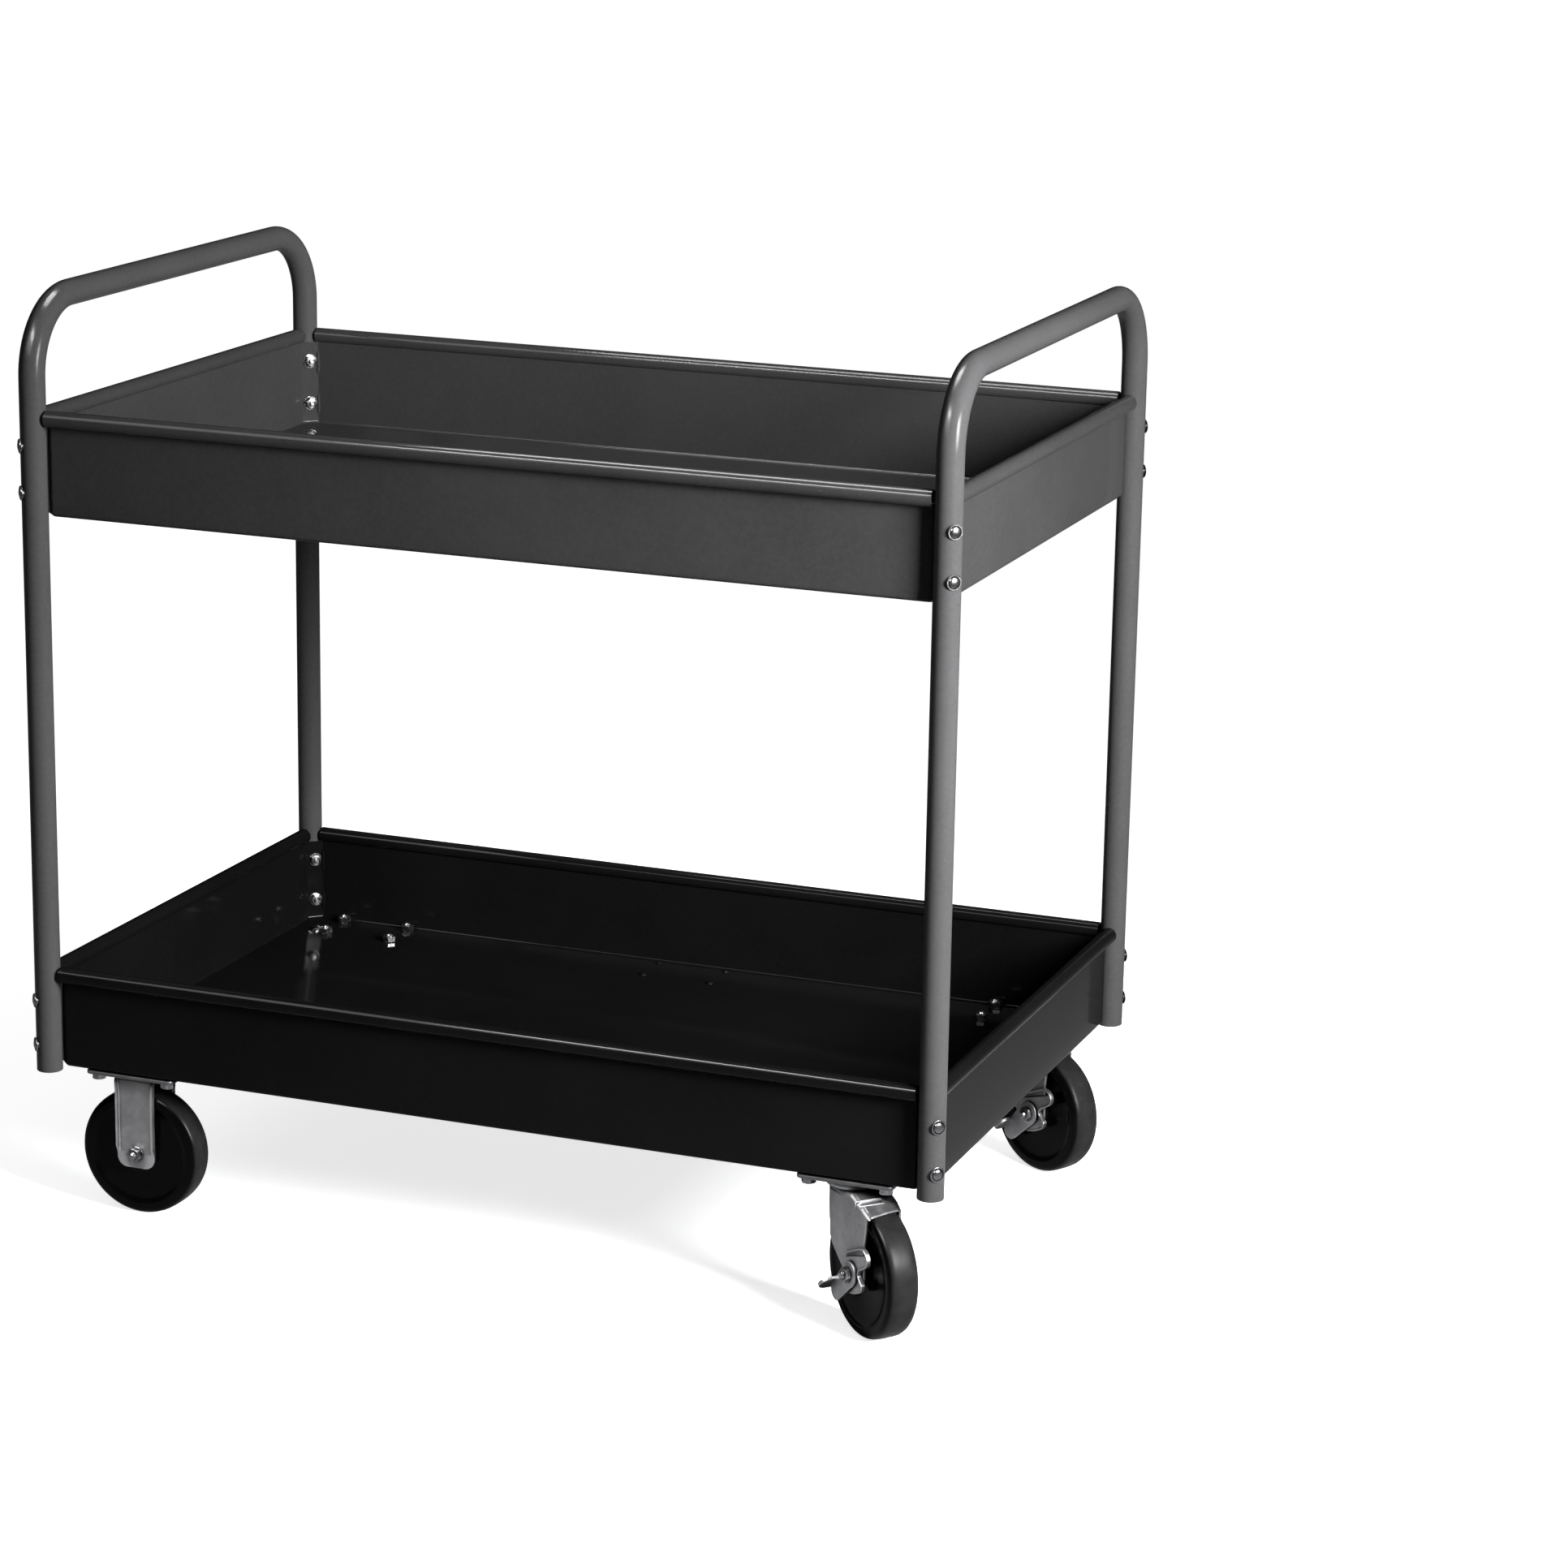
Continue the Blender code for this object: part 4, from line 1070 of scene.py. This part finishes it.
def make_casters(surfaces):
    zinc = surfaces["zinc"]
    horn = mesh_of("horn", horn_bm(), zinc, 34)
    plate = mesh_of("swivel_plate", swivel_plate_bm(), zinc, 34)
    kingpin = mesh_of("kingpin", kingpin_bm(), surfaces["bright"], 34)
    yoke = mesh_of("yoke", yoke_bm(), zinc, 60)
    housing = mesh_of("housing", housing_bm(), zinc, 60)
    lever = mesh_of("lever", lever_bm(), zinc, 60)
    for side in SIDES:
        x, y, _ = JOINTS[f"wheel_{side}_left_spin"]["pos_m"]
        node = f"caster_horn_{side}_left"
        here = Matrix.Translation((x, y, 0))
        add_piece(f"{node}_folded", horn, here, "cart", node)

        pivot = Vector(JOINTS[f"swivel_{side}"]["pos_m"])
        hub = Vector(JOINTS[f"wheel_{side}_right_spin"]["pos_m"])
        near = -Vector(JOINTS[f"wheel_{side}_right_spin"]["axis"])
        here = Matrix.Translation((pivot.x, pivot.y, 0))
        trail = here @ Matrix.Rotation(math.atan2(hub.y - pivot.y, hub.x - pivot.x), 4, "Z")
        axle = frame_of(hub, near) @ Matrix.Rotation(-math.pi / 2, 4, "Z")
        fork = f"fork_{side}"
        for kind, finish, mesh, matrix, body, slot in (
            ("swivel_plate", "pressed", plate, here, "cart", "zinc_plate"),
            ("kingpin", "rivet", kingpin, here, "cart", "bright_steel"),
            ("swivel_yoke", "pressed", yoke, trail, fork, "zinc_plate"),
            ("brake_housing", "pressed", housing, axle, fork, "zinc_plate"),
            ("brake_lever", "stamped", lever, axle, f"brake_{side}", "zinc_plate"),
        ):
            node = f"{kind}_{side}"
            add_piece(f"{node}_{finish}", mesh, matrix, body, node)


def repaint_frame(surfaces):
    """Better materials on the CAD nodes that stay."""
    for name, obj in frame["nodes"].items():
        if name.startswith("bushing"):
            obj.data.materials.clear()
            obj.data.materials.append(surfaces["bright"])


# ---------------------------------------------------------------- stage, lights and camera


def make_floor():
    bm = bmesh.new()
    corners = [(-1, -1), (1, -1), (1, 1), (-1, 1)]
    bm.faces.new(ring(bm, [(x * FLOOR_HALF, y * FLOOR_HALF, 0) for x, y in corners]))
    mesh = bpy.data.meshes.new("studio_floor")
    bm.to_mesh(mesh)
    bm.free()
    n = Nodes("pale_floor")
    tone = n.ranged(n.noise(1.4, 3.0), 0.3, 0.7, 0.0, 1.0)
    # The floor looks white, but throws little light up at the cart.
    seen = n.node("ShaderNodeLightPath").outputs["Is Camera Ray"]
    n.link(n.mix(seen, grey(FLOOR_BOUNCE), n.mix(tone, grey(0.87), grey(0.90))), "Base Color")
    n.link(n.math("MULTIPLY", seen, FLOOR_GLOW), "Emission Strength")
    white = (1.0, 1.0, 1.0, 1.0)
    mesh.materials.append(n.fixed(Emission_Color=white, Roughness=0.85, Specular_IOR_Level=0.0))
    floor = bpy.data.objects.new("studio_floor", mesh)
    bpy.context.scene.collection.objects.link(floor)


def area_light(name, place, aim, width, height, power, spread=180.0, glints=False):
    """A softbox. One for glints shows only as highlights, and lights nothing else."""
    light = bpy.data.lights.new(name, "AREA")
    light.shape = "RECTANGLE"
    light.size = width
    light.size_y = height
    light.energy = power
    light.spread = math.radians(spread)
    obj = bpy.data.objects.new(name, light)
    obj.location = place
    obj.rotation_euler = (Vector(aim) - Vector(place)).to_track_quat("-Z", "Y").to_euler()
    obj.visible_camera = False
    obj.visible_diffuse = not glints
    bpy.context.scene.collection.objects.link(obj)


def make_world():
    """A studio that is dim all round and bright overhead, with a white backdrop."""
    world = bpy.data.worlds.new("studio")
    world.use_nodes = True
    tree = world.node_tree
    place = tree.nodes.new("ShaderNodeTexCoord").outputs["Generated"]
    split = tree.nodes.new("ShaderNodeSeparateXYZ")
    tree.links.new(place, split.inputs[0])
    ramp = tree.nodes.new("ShaderNodeValToRGB")
    tree.links.new(split.outputs["Z"], ramp.inputs["Fac"])
    elements = ramp.color_ramp.elements
    for _ in range(2):
        elements.new(0.5)
    stops = ((0.0, HORIZON), (0.50, HORIZON), (0.80, OVERHEAD), (1.0, OVERHEAD))
    for element, (position, value) in zip(elements, stops):
        element.position = position
        element.color = (value, value, value, 1.0)
    seen = tree.nodes.new("ShaderNodeLightPath").outputs["Is Camera Ray"]
    pick = tree.nodes.new("ShaderNodeMix")
    pick.data_type = "RGBA"
    pick.inputs[7].default_value = (1 / WORLD, 1 / WORLD, 1 / WORLD, 1.0)
    tree.links.new(seen, pick.inputs[0])
    tree.links.new(ramp.outputs["Color"], pick.inputs[6])
    background = tree.nodes["Background"]
    tree.links.new(pick.outputs[2], background.inputs["Color"])
    background.inputs["Strength"].default_value = WORLD
    bpy.context.scene.world = world


def make_lights():
    area_light("key", (1.95, -0.95, 1.22), (0.50, -0.20, 0.62), 0.6, 0.9, 29, spread=64.0)
    area_light("strip", (-0.45, 0.10, 2.60), (-0.45, 0.10, 0.0), 0.9, 0.8, 120, glints=True)
    area_light("front", (-0.62, -1.75, 2.35), (0.20, -0.30, 0.45), 1.0, 0.35, 110, glints=True)
    area_light("panel", (-0.85, -1.85, 2.20), (0.10, -0.30, 0.45), 1.9, 1.2, 90, glints=True)


def make_camera():
    data = bpy.data.cameras.new("camera")
    data.lens = CAMERA_LENS
    data.sensor_width = 36.0
    data.clip_end = 200.0
    camera = bpy.data.objects.new("camera", data)
    camera.location = CAMERA_PLACE
    camera.rotation_euler = [math.radians(v) for v in CAMERA_TURN]
    bpy.context.scene.collection.objects.link(camera)
    bpy.context.scene.camera = camera


def main():
    bpy.context.scene.view_settings.view_transform = "Standard"
    surfaces = make_materials()
    make_camera()
    make_world()
    make_lights()
    make_floor()
    make_frames(surfaces)
    make_trays(surfaces)
    make_bolts(surfaces)
    make_wheels(surfaces)
    make_casters(surfaces)
    repaint_frame(surfaces)


main()
